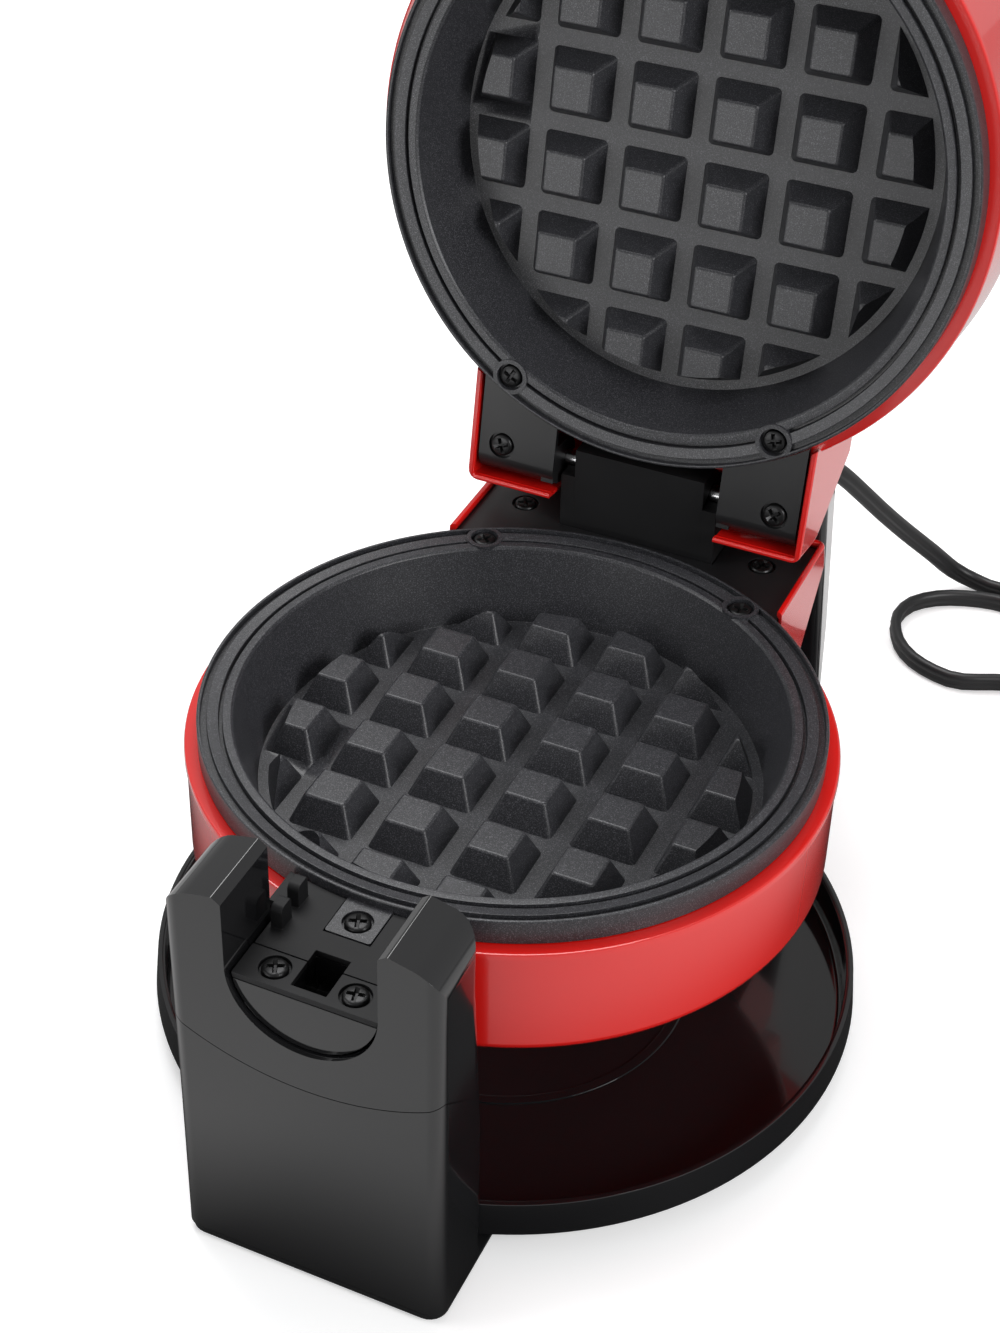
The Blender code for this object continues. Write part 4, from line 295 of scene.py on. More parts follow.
def settle(piece, body="stand"):
    """Set a piece that was drawn about the middle of the parting plane into the whole object."""
    piece.matrix_world = Matrix.Translation(MIDDLE)
    if body != "stand":
        piece.matrix_world = opened
    bpy.ops.object.select_all(action="DESELECT")
    piece.select_set(True)
    bpy.context.view_layer.objects.active = piece
    bpy.ops.object.transform_apply(location=True, rotation=True, scale=True)
    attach(piece, body)


def fit(piece, material, node, body="stand"):
    """Give a finished piece its place, even shading, material and body, and hide the part that it stands for."""
    settle(piece, body)
    step = piece.modifiers.new("even_shading", "WEIGHTED_NORMAL")
    step.keep_sharp = True
    apply_step(piece, step)
    piece.data.materials.clear()
    piece.data.materials.append(material)
    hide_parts(node)


gloss_black = finish("gloss_black_moulding", GLOSS_BLACK, 0.10, 18, 900, 0.000004, 0.35, 0.06, coat=0.6)
foot = DISH_BOTTOM - MIDDLE.z
ground = DISH_FLOOR - MIDDLE.z
top = DISH_TOP - MIDDLE.z
rim_outside = DISH_EDGE_RADIUS - DISH_FLARE
rim_inside = rim_outside - DISH_WALL
dish = turn_up("dish_moulding", [
    (DISH_FOOT_RADIUS, foot), (DISH_EDGE_RADIUS - DISH_WALL, foot + DISH_EDGE_RISE - DISH_WALL / 2),
    (DISH_EDGE_RADIUS, foot + DISH_EDGE_RISE), (rim_outside, top), (rim_inside + RIM_STEP_WIDTH, top),
    (rim_inside + RIM_STEP_WIDTH, top - RIM_STEP), (rim_inside, top - RIM_STEP),
    (rim_inside, ground + FLOOR_CORNER), (rim_inside - FLOOR_CORNER / 3, ground + FLOOR_CORNER / 3),
    (rim_inside - FLOOR_CORNER, ground), (RING_RADIUS + RING_HALF_WIDTH, ground),
    (RING_RADIUS + RING_HALF_WIDTH, ground + RING_HEIGHT),
    (RING_RADIUS - RING_HALF_WIDTH, ground + RING_HEIGHT), (RING_RADIUS - RING_HALF_WIDTH, ground),
    (RING_RADIUS / 2, ground)])
soften(dish, 0.0003)
fit(dish, gloss_black, "base_dish")

# Cord: one flat twin lead, standing on edge, from the tapered relief in the column's back down to the
# table, round in a loose loop and into a tied coil beside the maker; it ends in a moulded two-pin plug.
column_low, column_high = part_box("rear_column")
relief_low, relief_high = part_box("cord_strain_relief")
plug_low, plug_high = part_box("plug_body")
CORD_WIDTH = 0.0075
CORD_REST = CORD_WIDTH / 2
CORE_RADIUS = 0.00215
CORE_OFFSET = CORD_WIDTH / 2 - CORE_RADIUS
CORE_STEPS = 10
MEETING_GAP = 0.0003
CORD_ROUTE = (
    (0.0330, 0.0355, 0.0972),
    (0.0388, 0.0470, 0.0865),
    (0.0444, 0.0600, 0.0722),
    (0.0505, 0.0740, 0.0563),
    (0.0572, 0.0890, 0.0399),
    (0.0667, 0.1050, 0.0218),
    (0.0739, 0.1150, 0.0095),
    (0.0837, 0.1180, 0.0043),
    (0.0949, 0.1168, CORD_REST),
    (0.1180, 0.1200, CORD_REST),
    (0.1450, 0.1250, CORD_REST),
    (0.1660, 0.1200, CORD_REST),
    (0.1740, 0.1050, CORD_REST),
    (0.1630, 0.0920, CORD_REST),
    (0.1400, 0.0930, CORD_REST),
    (0.1170, 0.1035, CORD_REST),
    (0.0970, 0.1080, CORD_REST),
    (0.0767, 0.1025, CORD_REST),
    (0.0645, 0.0920, CORD_REST),
    (0.0612, 0.0796, CORD_REST),
    (0.0636, 0.0699, CORD_REST),
    (0.0680, 0.0615, CORD_REST),
    (0.0752, 0.0545, CORD_REST),
    (0.0853, 0.0498, CORD_REST),
    (0.0964, 0.0487, CORD_REST),
    (0.1113, 0.0552, CORD_REST),
    (0.1270, 0.0610, CORD_REST),
    (0.1440, 0.0638, CORD_REST),
)
ROUTE_SPACING = 0.0060
COIL_X = 0.1760
COIL_Y = column_high.y + 0.0200
COIL_RADIUS = 0.0440
COIL_PITCH = 0.0082
COIL_LAYER_TURNS = 1.0
COIL_CLIMB_TURNS = 0.5
COIL_TOP_TURNS = 0.75
COIL_TURN_POINTS = 48
TAIL_ROUTE = (
    (0.0424, -0.0230, 0.0095),
    (0.0430, -0.0410, 0.0050),
)
CORD_BLACK = (0.013, 0.013, 0.014, 1)


def smooth_through(route, spacing):
    """Points at even steps along a smooth curve through a route's own points."""
    knots = [Vector(point) for point in route]
    padded = [2 * knots[0] - knots[1]] + knots + [2 * knots[-1] - knots[-2]]
    fine = []
    for i in range(1, len(padded) - 2):
        a, b, c, d = padded[i - 1:i + 3]
        for step in range(24):
            t = step / 24
            fine.append(0.5 * (2 * b + (c - a) * t + (2 * a - 5 * b + 4 * c - d) * t * t
                               + (3 * b - a - 3 * c + d) * t ** 3))
    fine.append(knots[-1])
    total = sum((b - a).length for a, b in zip(fine, fine[1:]))
    step = total / round(total / spacing)
    points = [fine[0]]
    walked = 0.0
    for a, b in zip(fine, fine[1:]):
        run = (b - a).length
        while walked + run >= step * len(points) - spacing / 1000 and len(points) < round(total / step):
            points.append(a.lerp(b, (step * len(points) - walked) / run))
        walked += run
    return points + [knots[-1]]


def sweep(name, path, outline):
    """A closed tube of an outline of side and up distances, kept upright along a path."""
    rings = []
    for i, point in enumerate(path):
        ahead = path[min(i + 1, len(path) - 1)] - path[max(i - 1, 0)]
        side = ahead.cross(Vector((0, 0, 1))).normalized()
        up = side.cross(ahead).normalized()
        rings.append([point + side * u + up * v for u, v in outline])
    count = len(outline)
    faces = [tuple(range(count)), tuple(range(len(path) * count - count, len(path) * count))]
    for start in range(0, (len(path) - 1) * count, count):
        for i in range(count):
            following = (i + 1) % count
            faces.append((start + i, start + following, start + count + following, start + count + i))
    mesh = bpy.data.meshes.new(name)
    mesh.from_pydata([tuple(corner) for ring in rings for corner in ring], [], faces)
    work = bmesh.new()
    work.from_mesh(mesh)
    bmesh.ops.recalc_face_normals(work, faces=work.faces)
    work.to_mesh(mesh)
    work.free()
    piece = bpy.data.objects.new(name, mesh)
    bpy.context.scene.collection.objects.link(piece)
    return piece


cord_black = finish("cord_black", CORD_BLACK, 0.42, 60, 1400, 0.00001, 0.3, 0.12)
exit_point = Vector(((relief_low.x + relief_high.x) / 2, relief_high.y + MEETING_GAP,
                     (relief_low.z + relief_high.z) / 2))
lead_in = [exit_point + Vector((0, CORD_WIDTH, 0))]
laid = [Vector((x, column_high.y + y, height)) for x, y, height in CORD_ROUTE]
coil_turns = COIL_LAYER_TURNS + COIL_CLIMB_TURNS + COIL_TOP_TURNS
reverse = COIL_LAYER_TURNS + COIL_CLIMB_TURNS / 2
coil = [Vector((COIL_X - CORD_WIDTH, COIL_Y + COIL_RADIUS, CORD_REST))]
for i in range(round(coil_turns * COIL_TURN_POINTS) + 1):
    turn = i / COIL_TURN_POINTS
    radius = COIL_RADIUS - COIL_PITCH * (reverse - abs(turn - reverse))
    climb = min(1.0, max(0.0, (turn - COIL_LAYER_TURNS) / COIL_CLIMB_TURNS))
    angle = math.pi / 2 - math.tau * turn
    coil.append(Vector((COIL_X + radius * math.cos(angle), COIL_Y + radius * math.sin(angle),
                        CORD_REST + COIL_PITCH * climb)))
leave = coil[-1] + (coil[-1] - coil[-2]).normalized() * 2 * CORD_WIDTH
tail = [Vector((COIL_X + x, COIL_Y + y, height)) for x, y, height in TAIL_ROUTE]
cord_end = Vector(((plug_low.x + plug_high.x) / 2, plug_high.y + MEETING_GAP, CORD_REST))
free_run = smooth_through(lead_in + laid + [coil[0] - Vector((CORD_WIDTH, 0, 0))], ROUTE_SPACING)
tail_run = smooth_through([leave] + tail + [cord_end + Vector((0, CORD_WIDTH, 0))], ROUTE_SPACING)
cord_path = [exit_point] + free_run + coil + tail_run + [cord_end]
waist = math.acos(CORE_OFFSET / CORE_RADIUS)
sweep_angles = [-math.pi / 2 + waist + (math.tau - 2 * waist) * i / CORE_STEPS for i in range(CORE_STEPS + 1)]
upper_core = [(CORE_RADIUS * math.cos(a), CORE_OFFSET + CORE_RADIUS * math.sin(a)) for a in sweep_angles]
lower_core = [(-u, -v) for u, v in upper_core]
twin = upper_core + lower_core[1:-1]
cord = sweep("twin_cord", cord_path, twin)
cord.data.shade_smooth()
cord.data.materials.append(cord_black)
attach(cord, "stand")
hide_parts("cord_run", "cord_coil", "cord_tail")

RELIEF_RINGS = 5
RING_GROOVE = 0.0006
relief_length = relief_high.y - column_high.y
relief_radius = (relief_high.x - relief_low.x) / 2
relief_root = 0.0062
relief_tip = 0.0048
ring_pitch = relief_length / (RELIEF_RINGS + 1)
profile = [(relief_radius, relief_low.y - relief_high.y), (relief_radius, -relief_length - 0.0033),
           (relief_root, -relief_length - 0.0033)]
for i in range(RELIEF_RINGS + 1):
    start = -relief_length + i * ring_pitch
    radius = relief_root + (relief_tip - relief_root) * i / RELIEF_RINGS
    profile += [(radius, start), (radius, start + ring_pitch * 0.6)]
    profile += [(radius - RING_GROOVE, start + ring_pitch * 0.6), (radius - RING_GROOVE, start + ring_pitch)]
relief = turn_up("ribbed_relief", profile, 40)
relief.rotation_euler.x = -math.pi / 2
relief.location = (exit_point.x, relief_high.y, exit_point.z)
bpy.ops.object.transform_apply(location=True, rotation=True, scale=True)
soften(relief, 0.00025)
relief.data.materials.append(cord_black)
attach(relief, "stand")
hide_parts("cord_strain_relief")


def draw(name, points):
    """Trace an outline point by point from one vertex, and fill it."""
    bpy.ops.object.select_all(action="DESELECT")
    bpy.ops.mesh.primitive_plane_add(size=0.001, location=(0, 0, 0))
    piece = bpy.context.object
    piece.name = name
    bpy.ops.object.mode_set(mode="EDIT")
    bpy.ops.mesh.select_all(action="SELECT")
    bpy.ops.mesh.merge(type="CENTER")
    bpy.ops.transform.translate(value=points[0])
    for here, following in zip(points, points[1:]):
        step = Vector(following) - Vector(here)
        bpy.ops.mesh.extrude_vertices_move(TRANSFORM_OT_translate={"value": step})
    bpy.ops.mesh.select_all(action="SELECT")
    bpy.ops.mesh.edge_face_add()
    return piece


def pull(shift, grow=1.0, around=(0, 0, 0)):
    """Extrude the face that is selected in edit mode, and scale its new end."""
    bpy.ops.mesh.extrude_region_move(TRANSFORM_OT_translate={"value": shift})
    if grow != 1.0:
        bpy.ops.transform.resize(value=(grow, grow, grow), center_override=around)


def close(piece):
    """Leave edit mode with every face turned outwards."""
    bpy.ops.mesh.select_all(action="SELECT")
    bpy.ops.mesh.remove_doubles(threshold=0.000001)
    bpy.ops.mesh.normals_make_consistent(inside=False)
    bpy.ops.object.mode_set(mode="OBJECT")
    return piece


def rounded(corners, steps=6):
    """An outline with an arc of its own radius at each corner."""
    outline = []
    for i, (x, y, radius) in enumerate(corners):
        here = Vector((x, y))
        before = (Vector(corners[i - 1][:2]) - here).normalized()
        after = (Vector(corners[(i + 1) % len(corners)][:2]) - here).normalized()
        if radius == 0:
            outline.append((x, y))
            continue
        half = math.acos(max(-1.0, min(1.0, before.dot(after)))) / 2
        middle = here + (before + after).normalized() * radius / math.sin(half)
        start = here + before * radius / math.tan(half) - middle
        sweep_angle = (math.pi - 2 * half) * (-1 if before.cross(after) > 0 else 1)
        for step in range(steps + 1):
            turn = sweep_angle * step / steps
            outline.append((middle.x + start.x * math.cos(turn) - start.y * math.sin(turn),
                            middle.y + start.x * math.sin(turn) + start.y * math.cos(turn)))
    return outline


def cut(piece, tool, operation="DIFFERENCE"):
    """Cut, join or intersect a piece with a tool that is then thrown away."""
    step = piece.modifiers.new("cut", "BOOLEAN")
    step.object = tool
    step.operation = operation
    step.solver = "EXACT"
    apply_step(piece, step)
    bpy.data.objects.remove(tool, do_unlink=True)


PLUG_NECK_SHARE = 0.3
PLUG_GRIPS = 4
GRIP_PITCH = 0.0042
GRIP_DEPTH = 0.0005
BLADE_HOLE_RADIUS = 0.0016
BLADE_TIP = 0.0022
plug_half = (plug_high.x - plug_low.x) / 2
plug_thick = (plug_high.z - plug_low.z) / 2
plug_length = plug_high.y - plug_low.y
nose_half = plug_half * 0.66
nose = [(-nose_half, -plug_thick, plug_thick * 0.7), (nose_half, -plug_thick, plug_thick * 0.7),
        (nose_half, plug_thick, plug_thick * 0.7), (-nose_half, plug_thick, plug_thick * 0.7)]
plug = draw("moulded_plug", [(cord_end.x + x, plug_high.y, CORD_REST + z) for x, z in rounded(nose)])
for share, width in ((0.12, 0.74), (0.3, 0.86), (0.55, 1.0), (1.0, 1.0)):
    plug_y = plug_high.y - share * plug_length
    bpy.ops.mesh.extrude_region_move(TRANSFORM_OT_translate={"value": (0, 0, 0)})
    selected = [v.co.x for v in bmesh.from_edit_mesh(plug.data).verts if v.select]
    reach = (max(selected) - min(selected)) / 2
    here = [v.co.y for v in bmesh.from_edit_mesh(plug.data).verts if v.select][0]
    bpy.ops.transform.translate(value=(0, plug_y - here, 0))
    bpy.ops.transform.resize(value=(plug_half * width / reach, 1, 1), center_override=(cord_end.x, 0, 0))
close(plug)
for i in range(PLUG_GRIPS):
    for side in (-1, 1):
        grip_y = plug_high.y - plug_length * 0.62 - i * GRIP_PITCH
        bpy.ops.object.select_all(action="DESELECT")
        bpy.ops.mesh.primitive_cylinder_add(vertices=16, radius=GRIP_PITCH / 4, depth=plug_half,
                                            location=(cord_end.x, grip_y, CORD_REST + side * plug_thick),
                                            rotation=(0, math.pi / 2, 0))
        cut(plug, bpy.context.object)
soften(plug, 0.0005)
plug.data.materials.append(cord_black)
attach(plug, "stand")
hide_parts("plug_body")

# Coil tie: a soft black strap round the stacked turns, its end pressed flat on the outside.
TIE_WIDTH = 0.0080
TIE_THICKNESS = 0.0007
tie_turn = 0.75
tie_radius = COIL_RADIUS - COIL_PITCH * (reverse - abs(tie_turn - reverse))
tie_x = COIL_X - tie_radius
tie_half = CORE_RADIUS + 0.0006
tie_top = CORD_REST * 2 + COIL_PITCH + 0.0004
strap = rounded([(-tie_half, 0.0001, 0.0018), (tie_half, 0.0001, 0.0018), (tie_half, tie_top, 0.0018),
                 (-tie_half, tie_top, 0.0018)])
tie = draw("coil_tie", [(tie_x + x, COIL_Y - TIE_WIDTH / 2, z) for x, z in strap])
bpy.ops.mesh.inset(thickness=TIE_THICKNESS)
bpy.ops.mesh.delete(type="FACE")
bpy.ops.mesh.select_all(action="SELECT")
pull((0, TIE_WIDTH, 0))
close(tie)
tie.data.materials.append(cord_black)
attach(tie, "stand")

nickel = finish("nickel_plate", (0.60, 0.58, 0.54, 1), 0.28, 90, 2200, 0.000004, 0.25, 0.15, metallic=1.0)
for word in ("left", "right"):
    low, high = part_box(f"plug_blade_{word}")
    outline = rounded([(high.y, low.z, 0), (high.y, high.z, 0), (low.y, high.z, BLADE_TIP),
                       (low.y, low.z, BLADE_TIP)])
    blade = draw(f"pin_{word}", [(low.x, y, z) for y, z in outline])
    pull((high.x - low.x, 0, 0))
    close(blade)
    bpy.ops.object.select_all(action="DESELECT")
    bpy.ops.mesh.primitive_cylinder_add(vertices=24, radius=BLADE_HOLE_RADIUS, depth=0.01,
                                        location=((low.x + high.x) / 2, low.y + BLADE_TIP * 1.6,
                                                  (low.z + high.z) / 2), rotation=(0, math.pi / 2, 0))
    cut(blade, bpy.context.object)
    soften(blade, 0.0002)
    blade.data.materials.append(nickel)
    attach(blade, "stand")
    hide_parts(f"plug_blade_{word}")

# Grid plates: two matching aluminium castings in a charcoal non-stick coat with fine pale flecks. Each has
# a stepped rim, a deep sloping basin wall and a floor of square pegs; two rear screws sit in rim pockets
# and the third holds a front tab.
PLATE_RADIUS = 0.1000
SKIRT_DEPTH = 0.0085
LIP_BEVEL = 0.0003
GROOVE_RADIUS = 0.0989
GROOVE_DEPTH = 0.0021
LAND_RADIUS = 0.0967
LAND_DEPTH = 0.0003
LAND_INNER_RADIUS = 0.0931
LAND_INNER_DEPTH = 0.0009
INNER_GROOVE_DEPTH = 0.0032
RIDGE_RADIUS = 0.0918
RIDGE_DEPTH = 0.0007
BASIN_RADIUS = 0.0884
SKIRT_INNER_RADIUS = 0.0980
BASIN_ROUND = 0.0008
GRID_RADIUS = 0.0817
GRID_DEPTH = 0.0276
CAST_THICKNESS = 0.0025
RIM_THICKNESS = 0.0045
PEG_PITCH = 0.02813
PEG_BASE = 0.0222
PEG_TOP = 0.01385
PEG_HEIGHT = 0.0101
PEG_CORNER = 0.0019
PEG_ROOT = 0.0017
PEG_EDGE = 0.0008
PEG_MARGIN = 0.0034
RIM_EDGE = 0.00025
TAB_HALF_WIDTH = 0.00725
TAB_END = -0.1147
TAB_DEPTH = 0.0026
TAB_THICKNESS = 0.0024
TAB_CORNER = 0.0008
TAB_SCREW_Y = -0.1079
POCKET_RADIUS = 0.00475
POCKET_DEPTH = 0.0027
POCKET_BOSS_RADIUS = 0.0062
TAB_POCKET_DEPTH = 0.0015
SHANK_HOLE_RADIUS = 0.0022
SCREW_CIRCLE = 0.0942
SCREW_ANGLE = math.radians(30)
CLOSED_GAP = 0.0004
OVERRUN = 0.0040
FILLET = 0.0010
hinge_joint = [joint for joint in frame["joints"] if joint["name"] == "lid_hinge"][0]
hinge_axis = Vector(hinge_joint["pos_m"]) - MIDDLE
LID_OPEN = math.radians(hinge_joint["range_deg"][1])
opened = (Matrix.Translation(MIDDLE + hinge_axis) @ Matrix.Rotation(-LID_OPEN, 4, "X")
          @ Matrix.Translation(-hinge_axis))


def block(name, outline, low, high, axis):
    """Trace an outline square to an axis and pull it from low to high."""
    order = {"X": (2, 0, 1), "Y": (0, 2, 1), "Z": (0, 1, 2)}[axis]
    points = []
    for u, v in outline:
        values = (u, v, low)
        points.append(tuple(values[k] for k in order))
    piece = draw(name, points)
    shift = [0.0, 0.0, 0.0]
    shift["XYZ".index(axis)] = high - low
    pull(tuple(shift))
    return close(piece)


def brick(name, xs, ys, zs):
    """A block between pairs of X, Y and Z, as a guide for a cut."""
    return block(name, [(xs[0], ys[0]), (xs[1], ys[0]), (xs[1], ys[1]), (xs[0], ys[1])], zs[0], zs[1], "Z")


def post(name, radius, place, low, high, axis="Z", sides=48):
    """A round guide along an axis; its place is given square to that axis."""
    order = {"X": (2, 0, 1), "Y": (0, 2, 1), "Z": (0, 1, 2)}[axis]
    values = (place[0], place[1], (low + high) / 2)
    turn = {"X": (0, math.pi / 2, 0), "Y": (math.pi / 2, 0, 0), "Z": (0, 0, 0)}[axis]
    bpy.ops.object.select_all(action="DESELECT")
    bpy.ops.mesh.primitive_cylinder_add(vertices=sides, radius=radius, depth=high - low,
                                        location=tuple(values[k] for k in order), rotation=turn)
    piece = bpy.context.object
    piece.name = name
    bpy.ops.object.transform_apply(location=True, rotation=True, scale=True)
    return piece


def join(pieces):
    """Join several objects into the first."""
    bpy.ops.object.select_all(action="DESELECT")
    for piece in pieces:
        piece.select_set(True)
    bpy.context.view_layer.objects.active = pieces[0]
    bpy.ops.object.join()
    return pieces[0]


def another(piece, name, shift=(0, 0, 0)):
    """A copy of a piece with its own mesh, moved by a shift."""
    twin = piece.copy()
    twin.data = piece.data.copy()
    twin.name = name
    bpy.context.scene.collection.objects.link(twin)
    twin.data.transform(Matrix.Translation(shift))
    return twin


def mirrored(piece, name, axis="Z"):
    """The opposite hand of a piece: turned over about the parting plane for the lid, or left to right."""
    twin = another(piece, name)
    if axis == "Z":
        twin.scale.z = -1
        twin.location.z = CLOSED_GAP
    else:
        twin.scale.x = -1
    bpy.ops.object.select_all(action="DESELECT")
    twin.select_set(True)
    bpy.context.view_layer.objects.active = twin
    bpy.ops.object.transform_apply(location=True, rotation=True, scale=True)
    bpy.ops.object.mode_set(mode="EDIT")
    bpy.ops.mesh.select_all(action="SELECT")
    bpy.ops.mesh.normals_make_consistent(inside=False)
    bpy.ops.object.mode_set(mode="OBJECT")
    return twin


def round_where(piece, width, chosen, segments=3):
    """Round the sharp edges whose middle passes a test."""
    bpy.ops.object.select_all(action="DESELECT")
    piece.select_set(True)
    bpy.context.view_layer.objects.active = piece
    bpy.ops.object.mode_set(mode="EDIT")
    bpy.ops.mesh.select_mode(type="EDGE")
    bpy.ops.mesh.select_all(action="DESELECT")
    work = bmesh.from_edit_mesh(piece.data)
    for edge in work.edges:
        middle = (edge.verts[0].co + edge.verts[1].co) / 2
        if len(edge.link_faces) == 2 and edge.calc_face_angle(0) > SOFT_ANGLE and chosen(middle):
            edge.select_set(True)
    bmesh.update_edit_mesh(piece.data)
    bpy.ops.mesh.bevel(offset=width, segments=segments, affect="EDGES")
    bpy.ops.mesh.select_mode(type="VERT")
    bpy.ops.object.mode_set(mode="OBJECT")


flecks, given, made = build_group(
    "pale_flecks",
    (("Colour", "NodeSocketColor"), ("Fleck colour", "NodeSocketColor"), ("Fleck scale", "NodeSocketFloat"),
     ("Fleck level", "NodeSocketFloat")),
    (("Colour", "NodeSocketColor"), ("Mask", "NodeSocketFloat")))
place = flecks.nodes.new("ShaderNodeTexCoord")
spots = flecks.nodes.new("ShaderNodeTexNoise")
spots.inputs["Detail"].default_value = 4
spots.inputs["Roughness"].default_value = 0.7
sift = flecks.nodes.new("ShaderNodeMapRange")
sift.inputs["To Min"].default_value = 0
sift.inputs["To Max"].default_value = 1
ceiling = flecks.nodes.new("ShaderNodeMath")
ceiling.operation = "ADD"
ceiling.inputs[1].default_value = 0.16
paint = flecks.nodes.new("ShaderNodeMix")
paint.data_type = "RGBA"
flecks.links.new(place.outputs["Object"], spots.inputs["Vector"])
flecks.links.new(given.outputs["Fleck scale"], spots.inputs["Scale"])
flecks.links.new(spots.outputs["Fac"], sift.inputs["Value"])
flecks.links.new(given.outputs["Fleck level"], sift.inputs["From Min"])
flecks.links.new(given.outputs["Fleck level"], ceiling.inputs[0])
flecks.links.new(ceiling.outputs[0], sift.inputs["From Max"])
flecks.links.new(sift.outputs["Result"], paint.inputs["Factor"])
flecks.links.new(given.outputs["Colour"], paint.inputs["A"])
flecks.links.new(given.outputs["Fleck colour"], paint.inputs["B"])
flecks.links.new(paint.outputs["Result"], made.inputs["Colour"])
flecks.links.new(sift.outputs["Result"], made.inputs["Mask"])


def add_flecks(material, colour, fleck_colour, scale, level):
    """Scatter pale flecks through a material's colour."""
    tree = material.node_tree
    varied = [node for node in tree.nodes if node.type == "GROUP"][0]
    scatter = tree.nodes.new("ShaderNodeGroup")
    scatter.node_tree = flecks
    scatter.inputs["Colour"].default_value = colour
    scatter.inputs["Fleck colour"].default_value = fleck_colour
    scatter.inputs["Fleck scale"].default_value = scale
    scatter.inputs["Fleck level"].default_value = level
    tree.links.new(scatter.outputs["Colour"], varied.inputs["Colour"])


nonstick = finish("charcoal_nonstick", (0.021, 0.0215, 0.025, 1), 0.37, 30, 2200, 0.00003, 0.15, 0.06)
add_flecks(nonstick, (0.021, 0.0215, 0.025, 1), (0.16, 0.16, 0.175, 1), 2800, 0.52)
plate = turn_up("lower_plate_casting", [
    (GRID_RADIUS, -GRID_DEPTH), (BASIN_RADIUS, -RIDGE_DEPTH - BASIN_ROUND),
    (BASIN_RADIUS + BASIN_ROUND, -RIDGE_DEPTH), (RIDGE_RADIUS, -RIDGE_DEPTH),
    (RIDGE_RADIUS, -INNER_GROOVE_DEPTH), (LAND_INNER_RADIUS, -INNER_GROOVE_DEPTH),
    (LAND_INNER_RADIUS, -LAND_INNER_DEPTH), (LAND_RADIUS, -LAND_DEPTH), (LAND_RADIUS, -GROOVE_DEPTH),
    (GROOVE_RADIUS, -GROOVE_DEPTH), (GROOVE_RADIUS, 0), (PLATE_RADIUS - LIP_BEVEL, 0),
    (PLATE_RADIUS, -LIP_BEVEL), (PLATE_RADIUS, -SKIRT_DEPTH), (SKIRT_INNER_RADIUS, -SKIRT_DEPTH),
    (SKIRT_INNER_RADIUS, -RIM_THICKNESS), (BASIN_RADIUS + CAST_THICKNESS, -RIM_THICKNESS),
    (GRID_RADIUS + CAST_THICKNESS, -GRID_DEPTH - CAST_THICKNESS)])
soften(plate, RIM_EDGE)
draft = (PEG_BASE - PEG_TOP) / 2
root_half = PEG_BASE / 2 + draft * PEG_ROOT / PEG_HEIGHT
square = [(-root_half, -root_half), (root_half, -root_half), (root_half, root_half), (-root_half, root_half)]
raw = draw("raw_peg", [(x, y, -GRID_DEPTH - PEG_ROOT) for x, y in rounded([(*corner, PEG_CORNER) for corner in square], 4)])
peg_top = PEG_HEIGHT - GRID_DEPTH
pull((0, 0, PEG_ROOT + PEG_HEIGHT), PEG_TOP / 2 / root_half, (0, 0, peg_top))
close(raw)
soften(raw, PEG_EDGE, 3)
bound_radius = GRID_RADIUS - PEG_MARGIN
bound_top = bound_radius - draft
cone = turn_up("peg_bound", [(bound_radius + draft * PEG_ROOT / PEG_HEIGHT, -GRID_DEPTH - PEG_ROOT),
                             (bound_top, peg_top), (bound_top, peg_top + OVERRUN)], 96)
middles = [(k + 0.5) * PEG_PITCH for k in range(-3, 3)]
whole = []
clipped = []
for x in middles:
    for y in middles:
        farthest = math.hypot(abs(x) + PEG_BASE / 2, abs(y) + PEG_BASE / 2)
        nearest = math.hypot(abs(x) - PEG_BASE / 2, abs(y) - PEG_BASE / 2)
        if farthest < bound_radius:
            whole.append(another(raw, "peg", (x, y, 0)))
        elif nearest < bound_radius - draft / 2:
            clipped.append(another(raw, "edge_peg", (x, y, 0)))
whole = join(whole)
clipped = join(clipped)
cut(clipped, cone, "INTERSECT")
bpy.data.objects.remove(raw, do_unlink=True)
cut(plate, join([whole, clipped]), "UNION")
cut(plate, block("plate_tab", rounded([(-TAB_HALF_WIDTH, TAB_END, TAB_CORNER), (TAB_HALF_WIDTH, TAB_END, TAB_CORNER),
                                       (TAB_HALF_WIDTH, -SKIRT_INNER_RADIUS - 0.0005, 0),
                                       (-TAB_HALF_WIDTH, -SKIRT_INNER_RADIUS - 0.0005, 0)]),
                 -TAB_DEPTH - TAB_THICKNESS, -TAB_DEPTH, "Z"), "UNION")
cut(plate, post("tab_pocket", POCKET_RADIUS, (0, TAB_SCREW_Y), -TAB_DEPTH - TAB_POCKET_DEPTH, OVERRUN))
cut(plate, post("tab_hole", SHANK_HOLE_RADIUS, (0, TAB_SCREW_Y), -SKIRT_DEPTH, 0, sides=24))
for side in (-1, 1):
    spot = (side * SCREW_CIRCLE * math.sin(SCREW_ANGLE), SCREW_CIRCLE * math.cos(SCREW_ANGLE))
    cut(plate, post("pocket_boss", POCKET_BOSS_RADIUS, spot, -SKIRT_DEPTH, -LAND_DEPTH / 2), "UNION")
    cut(plate, post("pocket", POCKET_RADIUS, spot, -POCKET_DEPTH, OVERRUN))
    cut(plate, post("rim_hole", SHANK_HOLE_RADIUS, spot, -SKIRT_DEPTH - OVERRUN, 0, sides=24))
bpy.ops.object.select_all(action="DESELECT")
plate.select_set(True)
bpy.context.view_layer.objects.active = plate
bpy.ops.object.shade_smooth_by_angle(angle=SOFT_ANGLE)
lid_plate = mirrored(plate, "lid_plate_casting")
fit(plate, nonstick, "lower_grid_plate")
fit(lid_plate, nonstick, "upper_grid_plate", "lid")

